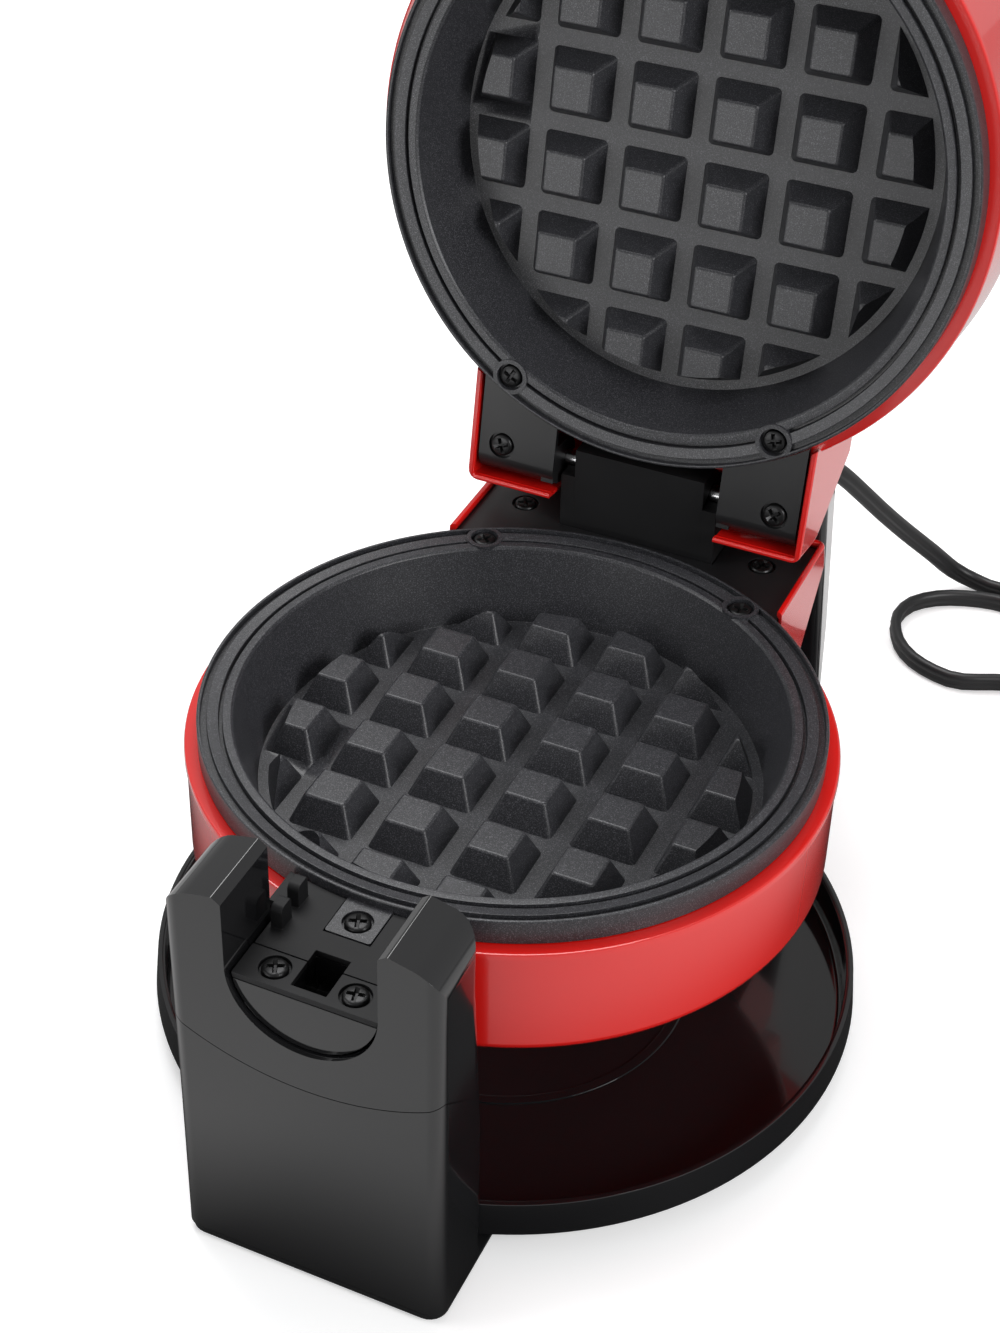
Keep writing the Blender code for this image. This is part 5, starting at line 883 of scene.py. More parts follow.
# Screws: black pan heads with a cross recess, the same screw in every place. They are driven from the
# face that each part shows, so each head is modelled once and set down at its own turn.
HEAD_RADIUS = 0.0040
HEAD_HEIGHT = 0.0018
FLAT_HEAD_HEIGHT = 0.0010
SHANK_RADIUS = 0.0019
SHANK_LENGTH = 0.0080
CROSS_REACH = 0.0028
CROSS_HALF_WIDTH = 0.00070
CROSS_DEPTH = 0.0014
CROSS_TAPER = 0.55
EAR_SCREW_PLACE = (0.0498, 0.1095)
COVER_SCREW_PLACE = (0.0444, 0.1110)
HUB_SCREW_PLACE = (0.0127, -0.1341)
HANDLE_SCREW_Y = -0.1700
FRONT_BASE_SCREW = (0.0235, -0.1250)
REAR_BASE_SCREW = (0.0260, 0.1610)
blackened = finish("blackened_steel", (0.035, 0.035, 0.036, 1), 0.33, 400, 2400, 0.000006, 0.4, 0.2, metallic=0.8)
pattern = turn_up("screw_pattern", [
    (HEAD_RADIUS * 0.35, HEAD_HEIGHT), (HEAD_RADIUS * 0.70, HEAD_HEIGHT * 0.97),
    (HEAD_RADIUS * 0.88, HEAD_HEIGHT * 0.84), (HEAD_RADIUS * 0.97, HEAD_HEIGHT * 0.58),
    (HEAD_RADIUS, HEAD_HEIGHT * 0.25), (HEAD_RADIUS, 0), (SHANK_RADIUS, 0), (SHANK_RADIUS, -SHANK_LENGTH)], 32)
arm = CROSS_HALF_WIDTH
cross = [(arm, arm), (arm, CROSS_REACH), (-arm, CROSS_REACH), (-arm, arm), (-CROSS_REACH, arm),
         (-CROSS_REACH, -arm), (-arm, -arm), (-arm, -CROSS_REACH), (arm, -CROSS_REACH), (arm, -arm),
         (CROSS_REACH, -arm), (CROSS_REACH, arm)]
driver = draw("cross_recess", [(x, y, HEAD_HEIGHT + OVERRUN / 4) for x, y in cross])
pull((0, 0, -OVERRUN / 4))
pull((0, 0, -CROSS_DEPTH), CROSS_TAPER, (0, 0, HEAD_HEIGHT - CROSS_DEPTH))
cut(pattern, close(driver))
soften(pattern, 0.00008, 1)
rim_x = SCREW_CIRCLE * math.sin(SCREW_ANGLE)
rim_y = SCREW_CIRCLE * math.cos(SCREW_ANGLE)
for node, x, y, top, turn, over, body in (
    ("lower_plate_screw_front", 0, TAB_SCREW_Y, -0.0020, 20, False, "stand"),
    ("lower_plate_screw_left", -rim_x, rim_y, -0.0006, 50, False, "stand"),
    ("lower_plate_screw_right", rim_x, rim_y, -0.0006, 5, False, "stand"),
    ("upper_plate_screw_front", 0, TAB_SCREW_Y, 0.0024, 35, True, "lid"),
    ("upper_plate_screw_left", -rim_x, rim_y, 0.0010, 62, True, "lid"),
    ("upper_plate_screw_right", rim_x, rim_y, 0.0010, 15, True, "lid"),
    ("ear_screw_left", -EAR_SCREW_PLACE[0], EAR_SCREW_PLACE[1], 0.0053, 20, True, "lid"),
    ("ear_screw_right", EAR_SCREW_PLACE[0], EAR_SCREW_PLACE[1], 0.0053, 40, True, "lid"),
    ("rear_cover_screw_left", -COVER_SCREW_PLACE[0], COVER_SCREW_PLACE[1], -0.0022, 30, False, "stand"),
    ("rear_cover_screw_right", COVER_SCREW_PLACE[0], COVER_SCREW_PLACE[1], -0.0022, 75, False, "stand"),
    ("hub_screw_left", -HUB_SCREW_PLACE[0], HUB_SCREW_PLACE[1], -0.0022, 25, False, "stand"),
    ("hub_screw_right", HUB_SCREW_PLACE[0], HUB_SCREW_PLACE[1], -0.0022, 12, False, "stand"),
    ("handle_screw", 0, HANDLE_SCREW_Y, 0.0023, 48, True, "lid"),
    ("bottom_screw_front_left", -FRONT_BASE_SCREW[0], FRONT_BASE_SCREW[1], None, 10, True, "stand"),
    ("bottom_screw_front_right", FRONT_BASE_SCREW[0], FRONT_BASE_SCREW[1], None, 55, True, "stand"),
    ("bottom_screw_rear_left", -REAR_BASE_SCREW[0], REAR_BASE_SCREW[1], None, 33, True, "stand"),
    ("bottom_screw_rear_right", REAR_BASE_SCREW[0], REAR_BASE_SCREW[1], None, 80, True, "stand"),
):
    screw = another(pattern, f"pan_{node}")
    height = HEAD_HEIGHT
    if top is None:
        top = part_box(node)[0].z - MIDDLE.z
        height = FLAT_HEAD_HEIGHT
    flatten = Matrix.Scale(height / HEAD_HEIGHT, 4, (0, 0, 1))
    way = Matrix.Rotation(math.pi if over else 0, 4, "X")
    head_under = top + height if over else top - height
    screw.data.transform(Matrix.Translation((x, y, head_under)) @ way
                         @ Matrix.Rotation(math.radians(turn), 4, "Z") @ flatten)
    fit(screw, blackened, node, body)
bpy.data.objects.remove(pattern, do_unlink=True)

# Red housings: two deep-drawn round shells in gloss red paint, each with a rolled bead under its plate and
# a box at the hinge side whose open rim is rolled inwards. The lid's box is notched for the hinge block.
DRUM_RADIUS = 0.1038
BEAD_RADIUS = 0.1044
BEAD_TOP = -0.0088
BEAD_HEIGHT = 0.0030
BEAD_ROUND = 0.0009
FLANGE_RADIUS = 0.0974
DRUM_BOTTOM = -0.0496
DRUM_CORNER = 0.0040
CORNER_STEPS = 6
SHELL_WALL = 0.0012
BOX_HALF_WIDTH = 0.0612
BOX_START = 0.0600
BOX_CORNER = 0.0036
LOWER_BOX_SIDE = ((BOX_START, 0.0, 0), (0.1310, 0.0, 0), (0.1340, -0.0110, 0.005),
                  (0.1150, -0.0350, 0.030), (DRUM_RADIUS, DRUM_BOTTOM, 0), (BOX_START, DRUM_BOTTOM, 0))
LID_BOX_SIDE = ((BOX_START, -0.0045, 0), (0.1245, -0.0045, 0), (0.1245, -0.0240, 0.012),
                (DRUM_RADIUS, DRUM_BOTTOM, 0), (BOX_START, DRUM_BOTTOM, 0))
LIP_WIDTH = 0.0022
LIP_BACK_WIDTH = 0.0018
LIP_HEIGHT = 0.0023
LIP_ROUND = 0.00070
HUB_PASSAGE_RADIUS = 0.0118
NOTCH_HALF_WIDTH = 0.0302
NOTCH_FRONT = 0.0996
NOTCH_BOTTOM = -0.0375


def inset(outline, wall):
    """Move every edge of a convex outline inwards by a wall."""
    area = sum(a[0] * b[1] - b[0] * a[1] for a, b in zip(outline, outline[1:] + outline[:1]))
    side = 1 if area > 0 else -1
    lines = []
    for a, b in zip(outline, outline[1:] + outline[:1]):
        run = (Vector(b) - Vector(a)).normalized()
        lines.append((Vector(a) + Vector((-run.y, run.x)) * side * wall, run))
    moved = []
    for (start, run), (other, across) in zip(lines[-1:] + lines[:-1], lines):
        if abs(run.cross(across)) < 0.001:
            moved.append(tuple(other))
            continue
        moved.append(tuple(start + run * (other - start).cross(across) / run.cross(across)))
    return moved


red_paint = finish("gloss_red_paint", (0.80, 0.010, 0.007, 1), 0.22, 9, 260, 0.000012, 0.12, 0.05, coat=1.0)
drum_profile = []
for step in range(CORNER_STEPS + 1):
    turn = math.pi / 2 * step / CORNER_STEPS
    drum_profile.append((DRUM_RADIUS - DRUM_CORNER + DRUM_CORNER * math.sin(turn),
                         DRUM_BOTTOM + DRUM_CORNER - DRUM_CORNER * math.cos(turn)))
drum_profile += [(DRUM_RADIUS, BEAD_TOP - BEAD_HEIGHT), (BEAD_RADIUS, BEAD_TOP - BEAD_HEIGHT + BEAD_RADIUS - DRUM_RADIUS),
                 (BEAD_RADIUS, BEAD_TOP - BEAD_ROUND), (BEAD_RADIUS - BEAD_ROUND * 0.3, BEAD_TOP - BEAD_ROUND * 0.3),
                 (BEAD_RADIUS - BEAD_ROUND, BEAD_TOP), (FLANGE_RADIUS, BEAD_TOP),
                 (FLANGE_RADIUS, BEAD_TOP - SHELL_WALL), (DRUM_RADIUS - SHELL_WALL, BEAD_TOP - SHELL_WALL)]
for step in range(CORNER_STEPS + 1):
    turn = math.pi / 2 * (1 - step / CORNER_STEPS)
    inner = DRUM_CORNER - SHELL_WALL
    drum_profile.append((DRUM_RADIUS - DRUM_CORNER + inner * math.sin(turn),
                         DRUM_BOTTOM + DRUM_CORNER - inner * math.cos(turn)))
bare_drum = turn_up("drum", drum_profile)
housings = {}
for half, side in (("lower", LOWER_BOX_SIDE), ("lid", LID_BOX_SIDE)):
    outline = rounded(list(side))
    rim = side[1][1]
    back_edge = side[1][0]
    case = block(f"{half}_case", outline, -BOX_HALF_WIDTH, BOX_HALF_WIDTH, "X")
    round_where(case, BOX_CORNER, lambda m: abs(m.x) > BOX_HALF_WIDTH - 0.0001 and m.z < rim - 0.0001
                and m.y > BOX_START + 0.0001 and m.z > DRUM_BOTTOM + 0.0001, 4)
    hollow = inset(outline, SHELL_WALL)
    hollow = [(y - (OVERRUN if y < BOX_START + 0.003 else 0), z) for y, z in hollow]
    room = BOX_HALF_WIDTH - SHELL_WALL
    hollow = block("box_hollow", hollow, -room, room, "X")
    cut(hollow, brick("rim_guard", (-0.1, 0.1), (0, 0.2), (rim - LIP_HEIGHT, 0.1)))
    cut(case, hollow)
    mouth = BOX_HALF_WIDTH - LIP_WIDTH
    cut(case, brick("box_mouth", (-mouth, mouth), (BOX_START - OVERRUN, back_edge - LIP_BACK_WIDTH),
                    (rim - LIP_HEIGHT - SHELL_WALL, OVERRUN)))
    round_where(case, LIP_ROUND, lambda m: m.z > rim - LIP_HEIGHT - 0.0001 and m.y > BOX_START + 0.0001, 4)
    cut(case, post("drum_bore", DRUM_RADIUS - SHELL_WALL / 2, (0, 0), -0.1, 0.1, sides=FINE_SIDES))
    shell = another(bare_drum, f"{half}_shell")
    cut(shell, case, "UNION")
    if half == "lower":
        cut(shell, post("hub_passage", HUB_PASSAGE_RADIUS, (0, 0), 0.1046, 0.1370, "Y"))
    else:
        cut(shell, brick("hinge_notch", (-NOTCH_HALF_WIDTH, NOTCH_HALF_WIDTH), (NOTCH_FRONT, 0.14), (NOTCH_BOTTOM, 0.01)))
    bpy.ops.object.select_all(action="DESELECT")
    shell.select_set(True)
    bpy.context.view_layer.objects.active = shell
    bpy.ops.object.shade_smooth_by_angle(angle=SOFT_ANGLE)
    housings[half] = shell
bpy.data.objects.remove(bare_drum, do_unlink=True)
fit(housings["lower"], red_paint, "lower_housing")
upper_shell = mirrored(housings["lid"], "lid_shell_red")
bpy.data.objects.remove(housings["lid"], do_unlink=True)
fit(upper_shell, red_paint, "upper_housing", "lid")

# Lid ears: two satin black pressings screwed into the lid's box. Their rear ends curl down behind the
# hinge, and a cheek on each carries the hinge pin.
EAR_INNER = 0.0300
EAR_OUTER = 0.0581
EAR_FRONT_RADIUS = 0.1015
EAR_START = 0.0750
EAR_FACE = 0.0059
EAR_THICKNESS = 0.0025
EAR_BACK = 0.1211
EAR_CURL = 0.0072
EAR_CURL_END = 0.0170
CHEEK_THICKNESS = 0.0045
CHEEK_TOP = 0.0252
CHEEK_REACH = 0.0075
CHEEK_CORNER = 0.0060
PIN_RADIUS = 0.0030
PIN_HALF_LENGTH = 0.0350
PIN_CLEARANCE = 0.0003
EAR_POCKET_DEPTH = 0.0015
satin_black = finish("satin_black_moulding", (0.014, 0.014, 0.015, 1), 0.36, 45, 1300, 0.000012, 0.3, 0.10)
curl_inside = EAR_CURL - EAR_THICKNESS
for side, word in ((-1, "left"), (1, "right")):
    xs = sorted((side * EAR_INNER, side * EAR_OUTER))
    outline = rounded([(EAR_START, EAR_FACE, 0), (EAR_BACK, EAR_FACE, EAR_CURL), (EAR_BACK, EAR_CURL_END, 0),
                       (EAR_BACK - EAR_THICKNESS, EAR_CURL_END, 0),
                       (EAR_BACK - EAR_THICKNESS, EAR_FACE + EAR_THICKNESS, curl_inside),
                       (EAR_START, EAR_FACE + EAR_THICKNESS, 0)], 8)
    ear = block(f"ear_{word}", outline, xs[0], xs[1], "X")
    cut(ear, post("ear_front", EAR_FRONT_RADIUS, (0, 0), 0, 0.05, sides=FINE_SIDES))
    xs = sorted((side * EAR_INNER, side * (EAR_INNER + CHEEK_THICKNESS)))
    cheek = block("cheek", rounded([(hinge_axis.y - CHEEK_REACH, EAR_FACE + EAR_THICKNESS / 2, 0),
                                    (hinge_axis.y + CHEEK_REACH - 0.0015, EAR_FACE + EAR_THICKNESS / 2, 0),
                                    (hinge_axis.y + CHEEK_REACH, CHEEK_TOP, CHEEK_CORNER),
                                    (hinge_axis.y - CHEEK_REACH, CHEEK_TOP, CHEEK_CORNER)]), xs[0], xs[1], "X")
    cut(ear, cheek, "UNION")
    cut(ear, post("pin_hole", PIN_RADIUS + PIN_CLEARANCE, (hinge_axis.y, hinge_axis.z), xs[0] - 0.001, xs[1] + 0.001, "X"))
    spot = (side * EAR_SCREW_PLACE[0], EAR_SCREW_PLACE[1])
    cut(ear, post("ear_pocket", POCKET_RADIUS, spot, 0, EAR_FACE + EAR_POCKET_DEPTH))
    cut(ear, post("ear_hole", SHANK_HOLE_RADIUS, spot, 0, 0.03, sides=24))
    soften(ear, 0.0003)
    fit(ear, satin_black, f"lid_ear_{word}", "lid")

# Hinge: a matt black block stands up from the lower unit between the ears; one bright steel pin with
# chamfered ends passes through the block and both cheeks.
BLOCK_HALF_WIDTH = 0.0235
SHOULDER_HALF_WIDTH = 0.0285
SHOULDER_TOP = 0.0180
BLOCK_SIDE = ((0.1046, -0.0300), (0.1170, -0.0300), (0.1285, -0.0156), (0.1285, 0.0115), (0.1160, 0.0290),
              (0.1042, 0.0290), (0.1046, -0.0028))
PIN_CHAMFER = 0.0005
MATT_SHINE_SHARE = 0.30
matt_black = finish("matt_black_moulding", (0.010, 0.010, 0.011, 1), 0.58, 60, 1700, 0.00003, 0.3, 0.08)
matt_black.node_tree.nodes["Principled BSDF"].inputs["Specular IOR Level"].default_value = MATT_SHINE_SHARE
hinge_block = block("hinge_upright", list(BLOCK_SIDE), -BLOCK_HALF_WIDTH, BLOCK_HALF_WIDTH, "X")
shoulder = block("hinge_shoulder", list(BLOCK_SIDE), -SHOULDER_HALF_WIDTH, SHOULDER_HALF_WIDTH, "X")
cut(shoulder, brick("above_shoulder", (-0.04, 0.04), (0.09, 0.14), (SHOULDER_TOP, 0.05)))
cut(hinge_block, shoulder, "UNION")
cut(hinge_block, post("pin_bore", PIN_RADIUS + PIN_CLEARANCE, (hinge_axis.y, hinge_axis.z), -0.04, 0.04, "X"))
soften(hinge_block, 0.0006)
fit(hinge_block, matt_black, "hinge_block")
steel = finish("bright_steel", (0.62, 0.62, 0.63, 1), 0.20, 120, 2600, 0.000003, 0.2, 0.12, metallic=1.0)
pin = post("steel_pin", PIN_RADIUS, (hinge_axis.y, hinge_axis.z), -PIN_HALF_LENGTH, PIN_HALF_LENGTH, "X", 40)
soften(pin, PIN_CHAMFER, 2)
fit(pin, steel, "hinge_pin")

# Rear cover: a flat satin black plate sunk into the lower box round the hinge block, with a curved front
# edge against the grid plate and two screws.
COVER_TOP = -0.0028
COVER_THICKNESS = 0.0030
COVER_HALF_WIDTH = 0.0595
COVER_BACK = 0.1295
COVER_FRONT_RADIUS = 0.1006
COVER_NOTCH_HALF_WIDTH = 0.0288
COVER_NOTCH_FRONT = 0.1043
cover = brick("hinge_cover", (-COVER_HALF_WIDTH, COVER_HALF_WIDTH), (0.075, COVER_BACK),
              (COVER_TOP - COVER_THICKNESS, COVER_TOP))
cut(cover, post("cover_front", COVER_FRONT_RADIUS, (0, 0), -0.02, 0.01, sides=FINE_SIDES))
cut(cover, brick("cover_notch", (-COVER_NOTCH_HALF_WIDTH, COVER_NOTCH_HALF_WIDTH), (COVER_NOTCH_FRONT, 0.14),
                 (-0.02, 0.01)))
for side in (-1, 1):
    spot = (side * COVER_SCREW_PLACE[0], COVER_SCREW_PLACE[1])
    cut(cover, post("cover_pocket", POCKET_RADIUS, spot, COVER_TOP - EAR_POCKET_DEPTH, 0.01))
    cut(cover, post("cover_hole", SHANK_HOLE_RADIUS, spot, -0.02, 0.01, sides=24))
soften(cover, 0.00035)
fit(cover, satin_black, "rear_cover")

# Front hub: the lower unit's half-moon pivot in satin black, running back as a neck under the grid plate.
# A small cap with the latch slot and two screws, and a cover with two stop ribs, close its top.
HUB_RADIUS = 0.0233
HUB_FRONT = -0.1410
HUB_SEAM = -0.1281
HUB_TOP = -0.0028
HUB_PLATE_THICKNESS = 0.0022
NECK_HALF_WIDTH = 0.0277
NECK_FLARE_START = -0.1105
NECK_FLARE_BOTTOM = -0.0270
NECK_END = -0.0960
MEETING_LINE = 0.00015
SLOT_HALF_WIDTH = 0.0055
SLOT_FRONT = -0.1381
SLOT_BACK = -0.1230
SLOT_DEPTH = 0.0183
RIB_OUTER = -0.0218
RIB_INNER = -0.0180
RIB_PLACES = (-0.1200, -0.1100)
RIB_LENGTH = 0.0060
RIB_TOP = 0.0050
DRUM_CLEARANCE = 0.0003
plate_under = HUB_TOP - HUB_PLATE_THICKNESS
turns = [math.asin(-plate_under / HUB_RADIUS) + (math.pi - 2 * math.asin(-plate_under / HUB_RADIUS)) * i / 40
         for i in range(41)]
moon = [(HUB_RADIUS * math.cos(turn), -HUB_RADIUS * math.sin(turn) - MEETING_LINE) for turn in turns]
neck = block("half_moon_neck", moon, HUB_FRONT, NECK_END, "Y")
flare = block("neck_flare", rounded([(-NECK_HALF_WIDTH, plate_under - MEETING_LINE, 0),
                                     (NECK_HALF_WIDTH, plate_under - MEETING_LINE, 0),
                                     (NECK_HALF_WIDTH, NECK_FLARE_BOTTOM, NECK_HALF_WIDTH / 2),
                                     (-NECK_HALF_WIDTH, NECK_FLARE_BOTTOM, NECK_HALF_WIDTH / 2)]),
              NECK_FLARE_START, NECK_END, "Y")
cut(neck, flare, "UNION")
cut(neck, post("neck_drum", BEAD_RADIUS + DRUM_CLEARANCE, (0, 0), -0.05, 0.01, sides=FINE_SIDES))
cut(neck, brick("neck_slot", (-SLOT_HALF_WIDTH, SLOT_HALF_WIDTH), (SLOT_FRONT - 0.0016, SLOT_BACK), (-SLOT_DEPTH, 0.01)))
for x, y in ((-HUB_SCREW_PLACE[0], HUB_SCREW_PLACE[1]), HUB_SCREW_PLACE, (0, TAB_SCREW_Y)):
    cut(neck, post("neck_hole", SHANK_HOLE_RADIUS, (x, y), -0.0133, 0.01, sides=24))
soften(neck, 0.0005)
fit(neck, gloss_black, "neck")
half_front = math.sqrt(HUB_RADIUS ** 2 - plate_under ** 2)
cap = block("slotted_cap", [(-half_front, plate_under), (half_front, plate_under),
                            (math.sqrt(HUB_RADIUS ** 2 - HUB_TOP ** 2), HUB_TOP),
                            (-math.sqrt(HUB_RADIUS ** 2 - HUB_TOP ** 2), HUB_TOP)], HUB_FRONT, HUB_SEAM, "Y")
ribbed = block("ribbed_cover", [(-half_front, HUB_SEAM + 0.0003), (half_front, HUB_SEAM + 0.0003),
                                (half_front, NECK_FLARE_START), (NECK_HALF_WIDTH, NECK_FLARE_START),
                                (NECK_HALF_WIDTH, -0.09), (-NECK_HALF_WIDTH, -0.09),
                                (-NECK_HALF_WIDTH, NECK_FLARE_START), (-half_front, NECK_FLARE_START)],
               plate_under, HUB_TOP, "Z")
for rib_y in RIB_PLACES:
    rib = block("stop_rib", rounded([(rib_y, plate_under + 0.001, 0), (rib_y + RIB_LENGTH, plate_under + 0.001, 0),
                                     (rib_y + RIB_LENGTH, RIB_TOP, 0.0012), (rib_y, RIB_TOP, 0.0022)]),
                RIB_OUTER, RIB_INNER, "X")
    cut(ribbed, rib, "UNION")
cut(ribbed, post("ribbed_rear", COVER_FRONT_RADIUS, (0, 0), -0.02, 0.01, sides=FINE_SIDES))
cut(ribbed, brick("tab_room", (-TAB_HALF_WIDTH - 0.0003, TAB_HALF_WIDTH + 0.0003), (TAB_END - 0.0003, -0.09), (-0.02, 0.01)))
for piece in (cap, ribbed):
    cut(piece, brick("latch_slot", (-SLOT_HALF_WIDTH, SLOT_HALF_WIDTH), (SLOT_FRONT, SLOT_BACK), (-0.02, 0.01)))
for side in (-1, 1):
    spot = (side * HUB_SCREW_PLACE[0], HUB_SCREW_PLACE[1])
    cut(cap, post("cap_pocket", POCKET_RADIUS, spot, HUB_TOP - EAR_POCKET_DEPTH, 0.01))
    cut(cap, post("cap_hole", SHANK_HOLE_RADIUS, spot, -0.02, 0.01, sides=24))
soften(cap, 0.00035)
soften(ribbed, 0.00035)
fit(cap, matt_black, "hub_cap")
fit(ribbed, matt_black, "neck_cover")

# Front upright: a hollow gloss black moulding on the base with a cradle moulding on top, parted by a
# curved seam. The cradle's two rounded arms stand either side of the hub.
PILLAR_FRONT = -0.1430
PILLAR_LENGTH = 0.0335
ARM_LENGTH = 0.0270
PILLAR_LEVELS = ((-0.1180, 0.0440, PILLAR_LENGTH), (-0.0600, 0.0437, PILLAR_LENGTH),
                 (0.0, 0.0434, ARM_LENGTH), (0.0302, 0.0433, ARM_LENGTH))
PILLAR_CORNER = 0.0050
PILLAR_BACK_CORNER = 0.0090
ARM_TOP = 0.0262
ARM_SHOULDER = 0.0215
ARM_EDGE = 0.0434
ARM_INNER_CHAMFER = 0.0028
ARM_INNER_ROUND = 0.0010
ARM_OUTER_ROUND = 0.0110
CRADLE_RADIUS = 0.0240
CRADLE_LIP = 0.0010
SEAM_DEPTH = 0.0385
SEAM_RADIUS = 0.0843
SEAM_FALL = 0.85
SEAM_LEVEL_Y = -0.1400
SEAM_GAP = 0.0003
SEAM_ROUND = 0.0005
SEAM_STEPS = 40
DISH_CLEARANCE = 0.0003
DISH_CUT_TOP = -0.1003
level_z, half, length = PILLAR_LEVELS[0]
upright_piece = draw("upright_blank", [(x, y, level_z) for x, y in rounded(
    [(-half, PILLAR_FRONT, PILLAR_CORNER), (half, PILLAR_FRONT, PILLAR_CORNER),
     (half, PILLAR_FRONT + length, PILLAR_BACK_CORNER), (-half, PILLAR_FRONT + length, PILLAR_BACK_CORNER)], 12)])
for (low, half, length), (high, next_half, next_length) in zip(PILLAR_LEVELS, PILLAR_LEVELS[1:]):
    pull((0, 0, high - low))
    bpy.ops.transform.resize(value=(next_half / half, next_length / length, 1), center_override=(0, PILLAR_FRONT, high))
close(upright_piece)
wide = 0.0495
front_view = rounded([(-wide, -0.125, 0), (wide, -0.125, 0), (wide, -0.012, 0), (ARM_EDGE, 0, 0),
                      (ARM_EDGE, ARM_SHOULDER, ARM_OUTER_ROUND),
                      (CRADLE_RADIUS + ARM_INNER_CHAMFER, ARM_TOP - ARM_INNER_CHAMFER / 4, ARM_INNER_ROUND),
                      (CRADLE_RADIUS, ARM_TOP - ARM_INNER_CHAMFER, ARM_INNER_ROUND),
                      (CRADLE_RADIUS, 0, 0), (-CRADLE_RADIUS, 0, 0),
                      (-CRADLE_RADIUS, ARM_TOP - ARM_INNER_CHAMFER, ARM_INNER_ROUND),
                      (-CRADLE_RADIUS - ARM_INNER_CHAMFER, ARM_TOP - ARM_INNER_CHAMFER / 4, ARM_INNER_ROUND),
                      (-ARM_EDGE, ARM_SHOULDER, ARM_OUTER_ROUND), (-ARM_EDGE, 0, 0), (-wide, -0.012, 0)], 8)
cut(upright_piece, block("front_view", front_view, -0.149, -0.108, "Y"), "INTERSECT")
cut(upright_piece, post("cradle_notch", CRADLE_RADIUS, (0, 0), -0.149, -0.108, "Y", 96))
cut(upright_piece, post("dish_room", DISH_EDGE_RADIUS + DISH_CLEARANCE, (0, 0), -0.122, DISH_CUT_TOP, sides=FINE_SIDES))


def above_seam(lift):
    """A guide that fills everything above the curved seam."""
    outline = []
    for i in range(SEAM_STEPS + 1):
        x = -wide + 2 * wide * i / SEAM_STEPS
        outline.append((x, -SEAM_DEPTH + SEAM_RADIUS - math.sqrt(SEAM_RADIUS ** 2 - x ** 2) + lift))
    outline += [(wide, 0.07), (-wide, 0.07)]
    guide = draw("above_seam", [(x, -0.149, z) for x, z in outline])
    pull((0, SEAM_LEVEL_Y + 0.149, 0))
    run = -0.108 - SEAM_LEVEL_Y
    pull((0, run, -SEAM_FALL * run))
    return close(guide)


lower_upright = another(upright_piece, "front_upright")
cut(lower_upright, above_seam(-SEAM_GAP / 2))
cradle = another(upright_piece, "cradle_arms")
cut(cradle, above_seam(SEAM_GAP / 2), "INTERSECT")
bpy.data.objects.remove(upright_piece, do_unlink=True)
soften(lower_upright, SEAM_ROUND, 2)
soften(cradle, CRADLE_LIP, 3)
fit(lower_upright, gloss_black, "front_pillar")
fit(cradle, gloss_black, "front_cradle")

# Rear column: a hollow gloss black moulding with a rounded top behind the hinge box. The unit's hub turns
# in a bush in its front wall, and the cord leaves low on its back.
COLUMN_LEVELS = ((-0.1180, 0.0660, 0.1120), (-0.0960, 0.0646, 0.1120), (-0.0680, 0.0629, 0.1370),
                 (0.0188, 0.0577, 0.1370))
COLUMN_BACK = 0.1810
COLUMN_TAPER = 0.0115
COLUMN_FRONT_CORNER = 0.0040
COLUMN_BACK_CORNER = 0.0100
COLUMN_TOP = 0.0188
COLUMN_TOP_HALF_WIDTH = 0.0577
COLUMN_SHOULDER = 0.0180
COLUMN_SEAM_ROUND = 0.0009
BUSH_HOLE_RADIUS = 0.0146
RELIEF_HOLE_RADIUS = 0.0065
level_z, half, front = COLUMN_LEVELS[0]
column = draw("rear_upright", [(x, y, level_z) for x, y in rounded(
    [(-half, front, COLUMN_FRONT_CORNER), (half, front, COLUMN_FRONT_CORNER),
     (half - COLUMN_TAPER, COLUMN_BACK, COLUMN_BACK_CORNER),
     (-half + COLUMN_TAPER, COLUMN_BACK, COLUMN_BACK_CORNER)], 8)])
for (low, half, front), (high, next_half, next_front) in zip(COLUMN_LEVELS, COLUMN_LEVELS[1:]):
    pull((0, 0, high - low))
    bpy.ops.transform.resize(value=(next_half / half, (COLUMN_BACK - next_front) / (COLUMN_BACK - front), 1),
                             center_override=(0, COLUMN_BACK, high))
close(column)
wide = 0.0700
back_view = rounded([(-wide, -0.122, 0), (wide, -0.122, 0), (wide, -0.036, 0),
                     (COLUMN_TOP_HALF_WIDTH + 0.0003, COLUMN_TOP, COLUMN_SHOULDER),
                     (-COLUMN_TOP_HALF_WIDTH - 0.0003, COLUMN_TOP, COLUMN_SHOULDER), (-wide, -0.036, 0)], 16)
cut(column, block("back_view", back_view, 0.108, 0.185, "Y"), "INTERSECT")
cut(column, post("dish_room", DISH_EDGE_RADIUS + DISH_CLEARANCE, (0, 0), -0.122, -0.02, sides=FINE_SIDES))
cut(column, post("bush_room", BUSH_HOLE_RADIUS, (0, 0), 0.130, 0.148, "Y"))
cut(column, post("relief_room", RELIEF_HOLE_RADIUS, (0.0280, -0.0200), 0.172, 0.185, "Y"))
soften(column, COLUMN_SEAM_ROUND, 3)
fit(column, gloss_black, "rear_column")

